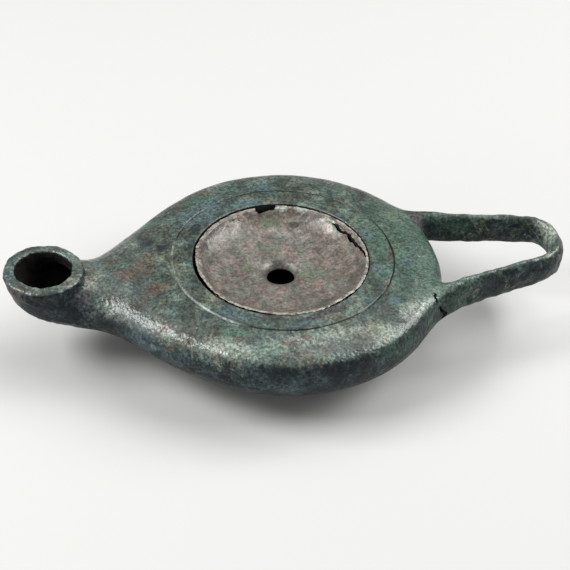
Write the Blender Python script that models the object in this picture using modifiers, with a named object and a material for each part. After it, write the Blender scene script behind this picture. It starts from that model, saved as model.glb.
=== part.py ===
"""Roman bronze oil lamp: a hollow cast body with an upturned nozzle and a loop handle, and a dished disc.

+Z is up, the nozzle points to -X and the handle to +X. The origin is the middle of the flat foot, on the
axis of the disc. Sizes are in millimetres and become metres in at(). Heights count up from the foot, and
depths count down from the deck, the nearly flat top of the body.

The body is one coarse control cage with a Subdivision Surface modifier. An outer and an inner skin are
spun round the disc's axis, each is drawn out into the spout through a portal in its wall, and the two skins
meet at the disc's seat and at the nozzle's rim. The solid handle grows out of the outer skin.
"""
import math

import bmesh
import bpy
from mathutils import Vector

MM = 0.001

# Body
DECK_HEIGHT = 26.0
WALL = 2.4
SEAT_RADIUS = 24.3
OPENING_RADIUS = 25.0
BODY_SHIFT = 1.8
FOOT_RADIUS = 22.5
# (radius, depth) of the cage's rings over the deck, the shoulder and the wall, from the opening down.
DECK_RINGS = ((OPENING_RADIUS, 0.0), (31.0, 0.1))
WALL_RINGS = ((42.0, 1.6), (43.9, 3.9), (44.3, 12.4), (38.8, 17.1), (31.9, 22.9))
FOOT_RINGS = (
    (FOOT_RADIUS + 0.8, DECK_HEIGHT - 1.0),
    (FOOT_RADIUS, DECK_HEIGHT),
    (FOOT_RADIUS - 4.0, DECK_HEIGHT),
)
SEGMENTS = 32
# How sharp the opening's edge, the seat's foot and the foot's edge stay when the cage is subdivided.
OPENING_CREASE = 1.0
SEAT_CREASE = 0.8
FOOT_CREASE = 1.0

# Spout
PORTAL_COLUMNS = 5
# How far the wall is drawn out beside the portal, at its edge and one column away.
FLARE = (3.5, 1.4)
# (x and depth of the top, x and depth of the underside, half width, squareness) of each section
SPOUT_SECTIONS = (
    (-42.2, -0.1, -42.9, 16.2, 21.1, 2.3),
    (-47.4, 0.2, -49.3, 15.3, 14.5, 2.2),
    (-51.2, 0.2, -57.0, 14.6, 11.8, 2.1),
    (-53.2, 0.1, -66.0, 12.0, 11.5, 2.2),
    (-54.4, -0.3, -74.3, 8.0, 11.4, 2.1),
)
NOZZLE_X = -66.0
NOZZLE_RADIUS = 11.4
RIM_RISE = 2.75
LIP_ROUNDING = 1.6
WICK_HOLE_RADIUS = 7.9
WICK_HOLE_DEPTH = 4.0

# Handle
HANDLE_COLUMN = 2
ROOT = (45.2, 16.8)
ARM_START = (39.7, 17.0)
ARM_END = (71.5, 9.7)
APEX_X = 79.8
ARM_SHARES = (0.3, 0.62, 1.0)
BEND_TURNS = (math.radians(28.0), math.radians(56.0))
LOOP_MIDDLE = (60.0, 0.0)
HANDLE_TOP_DEPTHS = (0.9, -0.6, -0.5)
HANDLE_HEIGHTS = (10.7, 9.4)
# The thickness at each point of half the path, from a root to the apex
HANDLE_THICKNESSES = (5.5, 3.3, 3.3, 3.5, 4.1, 4.6, 4.8)
# The corners of the handle's section: the side, in half thicknesses, and the drop, as a share of the height
ARM_PROFILE = ((-0.62, 0.0), (-1.08, 0.5), (-0.7, 1.0), (0.7, 1.0), (1.08, 0.5), (0.62, 0.0))
APEX_PROFILE = ((-0.46, 0.0), (-1.12, 0.42), (-0.42, 0.96), (0.6, 1.0), (1.08, 0.5), (0.56, 0.0))

# Disc
DISC_TOP_RADIUS = 24.4
DISC_BOTTOM_RADIUS = 23.85
DISC_SET_BACK = 0.35
DISC_THICKNESS = 1.2
DISH_RADIUS = 23.3
DISH_DEPTH = 5.1
DISH_POWER = 7.0
DISH_RADII = (9.0, 14.0, 17.5, 19.6, 21.2, 22.4, DISH_RADIUS)
HOLE_RADIUS = 3.85
# (radius, depth) of the rings of the funnel, from the filling hole out to the dish
FUNNEL = ((HOLE_RADIUS, 7.3), (4.5, 6.1), (5.6, 5.35))
DISC_SEGMENTS = 48
NOTCH_ANGLE = math.radians(94.0)
NOTCH_WIDTH = 6.0
NOTCH_DEPTH = 1.7
NOTCH_HEIGHT = 5.0

SHARP_ANGLE = math.radians(50.0)

BRONZE_GREEN = (0.052, 0.083, 0.071)
BRONZE_BROWN = (0.150, 0.127, 0.106)


def at(x, y, depth):
    """Return the point at x and y, at a depth below the deck, in metres."""
    return Vector((x, y, DECK_HEIGHT - depth)) * MM


def polar(radius, angle, depth):
    """Return the point at a radius and an angle round the disc's axis, in metres."""
    return at(radius * math.cos(angle), radius * math.sin(angle), depth)


def material(name, colour, roughness, metallic):
    """Make a Principled BSDF material."""
    made = bpy.data.materials.new(name)
    made.use_nodes = True
    shader = made.node_tree.nodes["Principled BSDF"]
    shader.inputs["Base Color"].default_value = (*colour, 1.0)
    shader.inputs["Roughness"].default_value = roughness
    shader.inputs["Metallic"].default_value = metallic
    return made


def inset_outline(rings, wall):
    """Return an outline of (radius, depth) rings moved in by the wall's thickness, square to its run."""
    moved = []
    for i, (radius, depth) in enumerate(rings):
        before = rings[max(i - 1, 0)]
        after = rings[min(i + 1, len(rings) - 1)]
        run, fall = after[0] - before[0], after[1] - before[1]
        length = math.hypot(run, fall)
        moved.append((radius - wall * fall / length, depth + wall * run / length))
    return moved


def spin_rings(mesh, rings, shifts):
    """Spin an outline round the disc's axis and return its rings of vertices, each in order of angle.

    Each ring is then moved along X by its shift.
    """
    step = math.tau / SEGMENTS
    earlier = set(mesh.verts)
    outline = [mesh.verts.new(polar(radius, step / 2, depth)) for radius, depth in rings]
    chain = [mesh.edges.new(pair) for pair in zip(outline, outline[1:])]
    bmesh.ops.spin(
        mesh,
        geom=outline + chain,
        cent=(0, 0, 0),
        axis=(0, 0, 1),
        angle=math.tau,
        steps=SEGMENTS,
        use_merge=True,
    )
    rows = [[None] * SEGMENTS for _ in rings]
    for vertex in set(mesh.verts) - earlier:
        radius = math.hypot(vertex.co.x, vertex.co.y) / MM
        depth = DECK_HEIGHT - vertex.co.z / MM
        column = round((math.atan2(vertex.co.y, vertex.co.x) % math.tau) / step - 0.5)
        row = min(range(len(rings)), key=lambda i: math.hypot(radius - rings[i][0], depth - rings[i][1]))
        rows[row][column] = vertex
    for row, shift in zip(rows, shifts):
        for vertex in row:
            vertex.co.x += shift * MM
    return rows


def portal_columns():
    """Return the numbers of the vertex columns that bound the portal, from +Y round to -Y."""
    first = (SEGMENTS - PORTAL_COLUMNS) // 2
    return [first + i for i in range(PORTAL_COLUMNS + 1)]


def draw_out_flare(rows):
    """Move the wall beside the portal outwards, so that the body's plan runs smoothly into the spout."""
    columns = portal_columns()
    near, far = FLARE
    pulls = {columns[0] - 1: far, columns[0]: near, columns[1]: near}
    pulls.update({columns[-1] + 1: far, columns[-1]: near, columns[-2]: near})
    for row in rows:
        for column, pull in pulls.items():
            outward = Vector((row[column].co.x, row[column].co.y, 0.0)).normalized()
            row[column].co += outward * pull * MM


def open_portal(mesh, rows):
    """Delete the wall's faces in front of the spout and return the loop of vertices round the hole."""
    columns = portal_columns()
    inside = {vertex for row in rows for vertex in (row[c] for c in columns)}
    faces = [face for face in mesh.faces if all(vertex in inside for vertex in face.verts)]
    loop = [rows[0][c] for c in columns]
    loop += [row[columns[-1]] for row in rows[1:-1]]
    loop += [rows[-1][c] for c in reversed(columns)]
    loop += [row[columns[0]] for row in reversed(rows[1:-1])]
    bmesh.ops.delete(mesh, geom=faces, context="FACES")
    return loop


def loft(mesh, first, second):
    """Join two loops of as many vertices with a belt of faces."""
    count = len(first)
    for i in range(count):
        j = (i + 1) % count
        mesh.faces.new((first[i], first[j], second[j], second[i]))


def spout_section(mesh, top, bottom, half_width, squareness=2.0):
    """Lay one closed section of the spout, with a vertex for each of the portal's.

    Its top and bottom are (x, depth) points in the lamp's middle plane, and it is a superellipse between
    them.
    """
    corners = 2 * PORTAL_COLUMNS + 8
    power = 2.0 / squareness
    section = []
    for i in range(corners):
        angle = (PORTAL_COLUMNS / 2 - i) * math.tau / corners
        side = math.copysign(abs(math.sin(angle)) ** power, math.sin(angle))
        rise = math.copysign(abs(math.cos(angle)) ** power, math.cos(angle))
        x = (top[0] + bottom[0] + rise * (top[0] - bottom[0])) / 2
        depth = (top[1] + bottom[1] + rise * (top[1] - bottom[1])) / 2
        section.append(mesh.verts.new(at(x, side * half_width, depth)))
    return section


def draw_out_spout(mesh, portal, wall):
    """Loft the spout from the portal to the foot of the nozzle, inset by a wall.

    Return its last section.
    """
    sections = [portal]
    for top_x, top_depth, bottom_x, bottom_depth, half_width, squareness in SPOUT_SECTIONS:
        top, bottom = Vector((top_x, top_depth)), Vector((bottom_x, bottom_depth))
        inward = (bottom - top).normalized() * wall
        sections.append(spout_section(mesh, top + inward, bottom - inward, half_width - wall, squareness))
    for first, second in zip(sections, sections[1:]):
        loft(mesh, first, second)
    return sections[-1]


def nozzle_ring(mesh, radius, depth):
    """Lay one level ring of the nozzle, at a depth below its rim."""
    level = depth - RIM_RISE
    return spout_section(mesh, (NOZZLE_X + radius, level), (NOZZLE_X - radius, level), radius)


def build_nozzle(mesh, outer, inner):
    """Close the nozzle over the two skins with its outer wall, a flat lip and the wick hole."""
    rings = [outer]
    rings.append(nozzle_ring(mesh, NOZZLE_RADIUS, 2.0))
    rings.append(nozzle_ring(mesh, NOZZLE_RADIUS, 0.3))
    rings.append(nozzle_ring(mesh, NOZZLE_RADIUS - LIP_ROUNDING, -0.1))
    rings.append(nozzle_ring(mesh, WICK_HOLE_RADIUS, 0.2))
    rings.append(nozzle_ring(mesh, WICK_HOLE_RADIUS, WICK_HOLE_DEPTH))
    rings.append(inner)
    for first, second in zip(rings, rings[1:]):
        loft(mesh, first, second)


def arm_path():
    """Return the handle's centre line in plan, from the +Y root round the apex to the -Y root."""
    start, end = Vector(ARM_START), Vector(ARM_END)
    arm = [Vector(ROOT)] + [start.lerp(end, share) for share in ARM_SHARES]
    bend = [
        Vector((end.x + (APEX_X - end.x) * math.sin(turn), end.y * math.cos(turn)))
        for turn in BEND_TURNS
    ]
    half = arm + bend
    return half + [Vector((APEX_X, 0.0))] + [Vector((p.x, -p.y)) for p in reversed(half)]


def handle_section(mesh, point, outward, thickness, profile):
    """Lay one six-cornered section of the handle, from its inner top edge down and up to its outer one."""
    root, middle, apex = HANDLE_TOP_DEPTHS
    share = (point.x - ARM_START[0]) / (APEX_X - ARM_START[0])
    turn = (ARM_END[0] - ARM_START[0]) / (APEX_X - ARM_START[0])
    if share < turn:
        top = root + (middle - root) * share / turn
    else:
        top = middle + (apex - middle) * (share - turn) / (1.0 - turn)
    height = HANDLE_HEIGHTS[0] + (HANDLE_HEIGHTS[1] - HANDLE_HEIGHTS[0]) * share
    section = []
    for side, drop in profile:
        place = point + outward * side * thickness / 2
        section.append(mesh.verts.new(at(place.x, place.y, top + drop * height)))
    return section


def build_handle(mesh, rows):
    """Grow the loop handle from two patches of the outer skin, one on each side of the back."""
    upper, middle, lower = rows
    roots = []
    far_columns = (HANDLE_COLUMN - 1, HANDLE_COLUMN)
    near_columns = (SEGMENTS - HANDLE_COLUMN, SEGMENTS - HANDLE_COLUMN - 1)
    for inner, outer in (far_columns, near_columns):
        corners = [upper[inner], middle[inner], lower[inner], lower[outer], middle[outer], upper[outer]]
        faces = [face for face in mesh.faces if all(vertex in corners for vertex in face.verts)]
        bmesh.ops.delete(mesh, geom=faces, context="FACES")
        roots.append(corners)
    path = arm_path()
    inside = Vector(LOOP_MIDDLE)
    sections = [roots[0]]
    for i, point in enumerate(path):
        run = path[min(i + 1, len(path) - 1)] - path[max(i - 1, 0)]
        outward = Vector((run.y, -run.x)).normalized()
        if outward.dot(point - inside) < 0.0:
            outward.negate()
        station = min(i, len(path) - 1 - i)
        profile = APEX_PROFILE if station > len(ARM_SHARES) else ARM_PROFILE
        sections.append(handle_section(mesh, point, outward, HANDLE_THICKNESSES[station], profile))
    sections.append(roots[1])
    for first, second in zip(sections, sections[1:]):
        loft(mesh, first, second)


def crease_ring(mesh, ring, sharpness):
    """Keep a ring of edges sharp when the cage is subdivided."""
    layer = mesh.edges.layers.float.get("crease_edge") or mesh.edges.layers.float.new("crease_edge")
    for first, second in zip(ring, ring[1:] + ring[:1]):
        mesh.edges.get((first, second))[layer] = sharpness


def build_body(collection):
    """Build the hollow body with its spout and handle as one closed, subdivided cage."""
    mesh = bmesh.new()
    top, wall = len(DECK_RINGS), len(WALL_RINGS)
    outline = [*DECK_RINGS, *WALL_RINGS, *FOOT_RINGS]
    shifts = [0.0] * top + [BODY_SHIFT / 2] + [BODY_SHIFT] * (wall - 1) + [0.0] * len(FOOT_RINGS)
    outer = spin_rings(mesh, outline, shifts)
    outer_wall = outer[top:top + wall]
    draw_out_flare(outer_wall[1:-1])
    inner_outline = [(SEAT_RADIUS, WALL + 0.2)] + inset_outline(outline, WALL)[1:-1]
    inner = spin_rings(mesh, inner_outline, shifts[:len(inner_outline)])
    inner_wall = inner[top:top + wall]
    draw_out_flare(inner_wall[1:-1])

    spout_ends = []
    for rows, thickness in ((outer_wall, 0.0), (inner_wall, WALL)):
        portal = open_portal(mesh, rows)
        spout_ends.append(draw_out_spout(mesh, portal, thickness))
    build_nozzle(mesh, *spout_ends)
    build_handle(mesh, outer_wall[:3])

    loft(mesh, outer[0], inner[0])
    mesh.faces.new(outer[-1])
    mesh.faces.new(inner[-1])
    crease_ring(mesh, outer[0], OPENING_CREASE)
    crease_ring(mesh, inner[0], SEAT_CREASE)
    crease_ring(mesh, outer[-2], FOOT_CREASE)
    bmesh.ops.recalc_face_normals(mesh, faces=mesh.faces)

    body = finish_mesh(mesh, "lamp_body", collection)
    smooth = body.modifiers.new("Smooth cage", "SUBSURF")
    smooth.levels = 1
    smooth.render_levels = 1
    return body


def finish_mesh(mesh, name, collection):
    """Turn a bmesh into an object of the collection."""
    data = bpy.data.meshes.new(name)
    mesh.to_mesh(data)
    mesh.free()
    data.shade_smooth()
    data.set_sharp_from_angle(angle=SHARP_ANGLE)
    made = bpy.data.objects.new(name, data)
    collection.objects.link(made)
    return made


def dish_depth(radius):
    """Return the depth of the disc's dished face at a radius."""
    if radius >= DISH_RADIUS:
        return DISC_SET_BACK
    return DISC_SET_BACK + (DISH_DEPTH - DISC_SET_BACK) * (1.0 - (radius / DISH_RADIUS) ** DISH_POWER)


def build_disc(collection):
    """Build the thin dished disc with its filling hole, as a turned outline, and cut a notch in its edge."""
    face = [*FUNNEL, *((radius, dish_depth(radius)) for radius in DISH_RADII)]
    back = inset_outline(face, DISC_THICKNESS)[1:-1]
    outline = [(DISC_TOP_RADIUS, DISC_SET_BACK), *reversed(face), (HOLE_RADIUS, face[0][1] + DISC_THICKNESS)]
    outline += [*back, (DISC_BOTTOM_RADIUS, DISC_SET_BACK + DISC_THICKNESS)]
    mesh = bmesh.new()
    points = [mesh.verts.new(polar(radius, 0.0, depth)) for radius, depth in outline]
    for first, second in zip(points, points[1:] + points[:1]):
        mesh.edges.new((first, second))
    disc = finish_mesh(mesh, "discus_plate", collection)
    turn = disc.modifiers.new("Turned disc", "SCREW")
    turn.steps = DISC_SEGMENTS
    turn.render_steps = DISC_SEGMENTS
    turn.use_merge_vertices = True
    turn.merge_threshold = 0.00005
    turn.use_normal_calculate = True
    return disc


def build_notch_cutter(collection):
    """Build the block that cuts the worn notch in the disc's edge."""
    mesh = bmesh.new()
    bmesh.ops.create_cube(mesh, size=1.0)
    bmesh.ops.scale(mesh, verts=mesh.verts, vec=Vector((NOTCH_DEPTH * 2, NOTCH_WIDTH, NOTCH_HEIGHT)) * MM)
    cutter = finish_mesh(mesh, "notch_cutter", collection)
    cutter.location = polar(DISC_TOP_RADIUS, NOTCH_ANGLE, DISC_SET_BACK)
    cutter.rotation_euler.z = NOTCH_ANGLE
    cutter.hide_render = True
    cutter.display_type = "WIRE"
    return cutter


def main():
    """Clear the scene and build the lamp."""
    for old in list(bpy.data.objects):
        bpy.data.objects.remove(old, do_unlink=True)
    parts = bpy.data.collections.new("Bronze oil lamp")
    cutters = bpy.data.collections.new("Cutters")
    bpy.context.scene.collection.children.link(parts)
    bpy.context.scene.collection.children.link(cutters)

    body = build_body(parts)
    body.data.materials.append(material("bronze_green_patina", BRONZE_GREEN, 0.55, 0.35))
    disc = build_disc(parts)
    disc.data.materials.append(material("bronze_brown_patina", BRONZE_BROWN, 0.45, 0.35))
    cut = disc.modifiers.new("Worn notch", "BOOLEAN")
    cut.operation = "DIFFERENCE"
    cut.object = build_notch_cutter(cutters)


main()
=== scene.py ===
"""Roman bronze oil lamp: detailed pieces, finishes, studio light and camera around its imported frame.

The lamp is a hollow cast body with an upturned nozzle and a loop handle, and a thin dished disc that rests
in its top. +Z is up, the nozzle points to -X and the handle to +X, and the origin is the middle of the flat
foot. Sizes are in millimetres and become metres in at(). Depths count down from the deck, the body's top.
"""

from __future__ import annotations

import logging
import math
from collections.abc import Sequence
from dataclasses import dataclass
from enum import Enum

import bmesh
import bpy
import numpy as np
from mathutils import Matrix, Vector, kdtree, noise


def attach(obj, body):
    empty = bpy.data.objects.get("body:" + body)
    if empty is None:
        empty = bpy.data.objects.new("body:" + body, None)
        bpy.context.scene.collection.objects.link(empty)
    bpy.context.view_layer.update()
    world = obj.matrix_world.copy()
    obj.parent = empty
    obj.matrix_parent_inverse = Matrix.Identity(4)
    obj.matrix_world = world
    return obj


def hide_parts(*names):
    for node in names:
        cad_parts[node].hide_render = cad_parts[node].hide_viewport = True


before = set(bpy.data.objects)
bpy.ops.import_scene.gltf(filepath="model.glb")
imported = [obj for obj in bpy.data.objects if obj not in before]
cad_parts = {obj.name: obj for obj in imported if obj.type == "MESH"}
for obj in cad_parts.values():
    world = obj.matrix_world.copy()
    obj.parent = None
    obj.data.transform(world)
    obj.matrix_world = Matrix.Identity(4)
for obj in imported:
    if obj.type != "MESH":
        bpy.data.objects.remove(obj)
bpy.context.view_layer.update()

LOG = logging.getLogger("oil_lamp")
MM = 0.001
BODY = "root"
DECK_HEIGHT = 26.0
# Levels of subdivision that turn a cage into a smooth surface.
SMOOTHING = 2
# Edges shorter than this, left by a boolean cut, are dissolved.
SLIVER = 0.002 * MM
# Faces that meet at a larger angle than this keep a sharp edge.
SHARP_ANGLE = math.radians(40.0)

Loop = list[Vector]
Pair = tuple[float, float]
Place = tuple[float, float, float]
Socket = bpy.types.NodeSocket


def at(x: float, y: float, depth: float) -> Vector:
    """Return the point in metres at x, y and a depth below the deck, which are in millimetres."""
    return Vector((x, y, DECK_HEIGHT - depth)) * MM


def polar(radius: float, angle: float, depth: float) -> Vector:
    """Return the point at a radius, an angle in radians and a depth, round the disc's axis."""
    return at(radius * math.cos(angle), radius * math.sin(angle), depth)


@dataclass(frozen=True)
class Fade:
    """A smooth change from bottom to top, as a value goes from start to end."""

    start: float
    end: float
    bottom: float = 0.0
    top: float = 1.0

    def of(self, values: np.ndarray) -> np.ndarray:
        """Return what the fade makes of some values."""
        share = np.clip((values - self.start) / (self.end - self.start), 0.0, 1.0)
        return self.bottom + (self.top - self.bottom) * share * share * (3.0 - 2.0 * share)

    def inputs(self, value: Socket) -> dict[str, object]:
        """Return the inputs of a MapRange node that puts a value through the fade."""
        ends = {"From Min": self.start, "From Max": self.end, "To Min": self.bottom, "To Max": self.top}
        return {"Value": value, **ends}


@dataclass(frozen=True)
class Ring:
    """One ring of a turned outline: its radius and its depth below the deck."""

    radius: float
    depth: float


def inset_outline(rings: Sequence[Ring], wall: float) -> list[Ring]:
    """Move an outline in by the thickness of a wall, square to its own run.

    Args:
        rings: The outline's rings, in order.
        wall: The wall's thickness.

    Returns:
        The moved rings, in the same order.
    """
    moved = []
    for i, ring in enumerate(rings):
        before = rings[max(i - 1, 0)]
        after = rings[min(i + 1, len(rings) - 1)]
        run, fall = after.radius - before.radius, after.depth - before.depth
        length = math.hypot(run, fall)
        moved.append(Ring(ring.radius - wall * fall / length, ring.depth + wall * run / length))
    return moved


class Workpiece:
    """One mesh object that is shaped in edit mode."""

    def __init__(self, name: str, first: Loop) -> None:
        """Start a piece from a circle laid on its first loop.

        Args:
            name: The piece's name.
            first: The first loop's points, in order.
        """
        bpy.ops.object.select_all(action="DESELECT")
        bpy.ops.mesh.primitive_circle_add(vertices=len(first))
        self.object = bpy.context.object
        self.object.name = name
        self.object.data.name = name
        bpy.ops.object.mode_set(mode="EDIT")
        self.lay_selected(self.circle(len(first)), first)

    @property
    def mesh(self) -> bmesh.types.BMesh:
        """Return the mesh as it stands in edit mode."""
        return bmesh.from_edit_mesh(self.object.data)

    @staticmethod
    def circle(corners: int) -> Loop:
        """Return the places of a new circle primitive's vertices."""
        step = math.tau / corners
        return [Vector((-math.sin(i * step), math.cos(i * step), 0.0)) for i in range(corners)]

    @staticmethod
    def match(places: Loop, points: Loop) -> list[int]:
        """Find the nearest place to each of some points.

        Args:
            places: The places.
            points: The points.

        Returns:
            The number of the place nearest to each point.
        """
        tree = kdtree.KDTree(len(places))
        for i, place in enumerate(places):
            tree.insert(place, i)
        tree.balance()
        return [tree.find(point)[1] for point in points]

    def vertices_at(self, mesh: bmesh.types.BMesh, points: Loop) -> list[bmesh.types.BMVert]:
        """Return the vertices nearest to some points, in the points' order."""
        vertices = list(mesh.verts)
        return [vertices[i] for i in self.match([vertex.co for vertex in vertices], points)]

    def lay_selected(self, places: Loop, points: Loop) -> None:
        """Move the selected vertices.

        Args:
            places: Where the vertices are, in order.
            points: Where they go, in the same order.
        """
        mesh = self.mesh
        chosen = [vertex for vertex in mesh.verts if vertex.select]
        for vertex, i in zip(chosen, self.match(places, [vertex.co for vertex in chosen])):
            vertex.co = points[i]
        bmesh.update_edit_mesh(self.object.data)

    def add_loop(self, points: Loop) -> None:
        """Add a circle and lay it on a loop of points.

        Args:
            points: The loop's points, in order.
        """
        bpy.ops.mesh.select_all(action="DESELECT")
        bpy.ops.mesh.primitive_circle_add(vertices=len(points))
        self.lay_selected(self.circle(len(points)), points)

    def select_points(self, points: Loop) -> None:
        """Select the vertices at some points, and the edges and faces between them.

        Args:
            points: Where the vertices are.
        """
        bpy.ops.mesh.select_mode(type="VERT")
        bpy.ops.mesh.select_all(action="DESELECT")
        mesh = self.mesh
        for vertex in self.vertices_at(mesh, points):
            vertex.select = True
        mesh.select_flush(True)
        bmesh.update_edit_mesh(self.object.data)

    def select_loops(self, *loops: Loop) -> None:
        """Select closed loops of edges.

        Args:
            loops: Each loop's points, in order.
        """
        bpy.ops.mesh.select_mode(type="EDGE")
        bpy.ops.mesh.select_all(action="DESELECT")
        mesh = self.mesh
        for points in loops:
            loop = self.vertices_at(mesh, points)
            for first, second in zip(loop, loop[1:] + loop[:1]):
                mesh.edges.get((first, second)).select_set(True)
        bmesh.update_edit_mesh(self.object.data)

    def bridge(self, first: Loop, second: Loop) -> None:
        """Join two loops with a belt of faces."""
        self.select_loops(first, second)
        bpy.ops.mesh.bridge_edge_loops()

    def loft(self, loops: Sequence[Loop]) -> None:
        """Join loops in turn.

        Args:
            loops: The loops' points. The first loop is in the mesh already.
        """
        for first, second in zip(loops, loops[1:]):
            self.add_loop(second)
            self.bridge(first, second)

    def extrude(self, loops: Sequence[Loop]) -> None:
        """Extrude the first loop of edges through the other loops' points.

        Args:
            loops: The loops' points. The first loop is in the mesh already.
        """
        self.select_loops(loops[0])
        for first, second in zip(loops, loops[1:]):
            bpy.ops.mesh.extrude_edges_move()
            self.lay_selected(first, second)

    def close(self, loop: Loop) -> None:
        """Fill a loop with one face."""
        self.select_loops(loop)
        bpy.ops.mesh.edge_face_add()

    def crease(self, loop: Loop, sharpness: float) -> None:
        """Keep a loop of edges sharp when the piece is subdivided."""
        self.select_loops(loop)
        bpy.ops.transform.edge_crease(value=sharpness)

    def mark_all(self, name: str) -> None:
        """Mark every vertex so far with 1, in a layer that later vertices have at 0.

        Args:
            name: The layer's name.
        """
        mesh = self.mesh
        layer = mesh.verts.layers.float.new(name)
        for vertex in mesh.verts:
            vertex[layer] = 1.0
        bmesh.update_edit_mesh(self.object.data)

    def face_outward(self) -> None:
        """Turn every face to point out of the metal."""
        bpy.ops.mesh.select_all(action="SELECT")
        bpy.ops.mesh.normals_make_consistent(inside=False)

    def smooth(self) -> None:
        """Leave edit mode and turn the cage into a smooth surface."""
        bpy.ops.object.mode_set(mode="OBJECT")
        self.apply("SUBSURF", levels=SMOOTHING, render_levels=SMOOTHING)

    def activate(self) -> None:
        """Make the piece the only selected object."""
        bpy.ops.object.select_all(action="DESELECT")
        self.object.select_set(True)
        bpy.context.view_layer.objects.active = self.object

    def apply(self, kind: str, **settings: object) -> None:
        """Add a modifier and apply it.

        Args:
            kind: The modifier's type.
            settings: The modifier's own properties.
        """
        modifier = self.object.modifiers.new(kind.title(), kind)
        for name, value in settings.items():
            setattr(modifier, name, value)
        bpy.ops.object.modifier_apply(modifier=modifier.name)

    def clean_cut(self) -> None:
        """Take out the slivers that a boolean cut leaves, and split its many-sided faces."""
        bpy.ops.object.mode_set(mode="EDIT")
        bpy.ops.mesh.select_mode(type="VERT")
        bpy.ops.mesh.select_all(action="SELECT")
        bpy.ops.mesh.dissolve_degenerate(threshold=SLIVER)
        bpy.ops.mesh.select_all(action="DESELECT")
        bpy.ops.mesh.select_mode(type="FACE")
        bpy.ops.mesh.select_face_by_sides(number=4, type="GREATER", extend=False)
        bpy.ops.mesh.quads_convert_to_tris(quad_method="BEAUTY", ngon_method="BEAUTY")
        bpy.ops.object.mode_set(mode="OBJECT")


@dataclass(frozen=True)
class Blot:
    """A soft patch: its middle (x, y, depth), its half sizes, its strength and its turn in degrees."""

    middle: Place
    half_sizes: Place
    strength: float = 1.0
    turn: float = 0.0
    edge: Fade = Fade(1.0, 0.15)

    def share(self, points: np.ndarray) -> np.ndarray:
        """Find how strong the patch is.

        Args:
            points: Points of the piece, in millimetres.

        Returns:
            The patch's strength at each point.
        """
        x, y, depth = self.middle
        away = points - np.array((x, y, DECK_HEIGHT - depth))
        turn = math.radians(self.turn)
        along = away[:, 0] * math.cos(turn) + away[:, 1] * math.sin(turn)
        across = away[:, 1] * math.cos(turn) - away[:, 0] * math.sin(turn)
        reach = np.stack((along, across, away[:, 2]), axis=1) / np.array(self.half_sizes)
        return self.edge.of(np.linalg.norm(reach, axis=1)) * self.strength


@dataclass(frozen=True)
class Pit:
    """One round corrosion pit: its place (x, y, depth), its radius and how deep it is."""

    place: Place
    radius: float
    sunk: float


@dataclass(frozen=True)
class Waves:
    """Random waves in a surface: their size, seed and height, and the height that two zones add."""

    size: float
    seed: float
    height: float
    handle: float = 0.0
    nozzle: float = 0.0

    def height_at(self, handle: np.ndarray, nozzle: np.ndarray) -> np.ndarray:
        """Return the height at each vertex, by how far it is on the handle and on the nozzle."""
        return self.height + self.handle * handle + self.nozzle * nozzle


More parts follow.
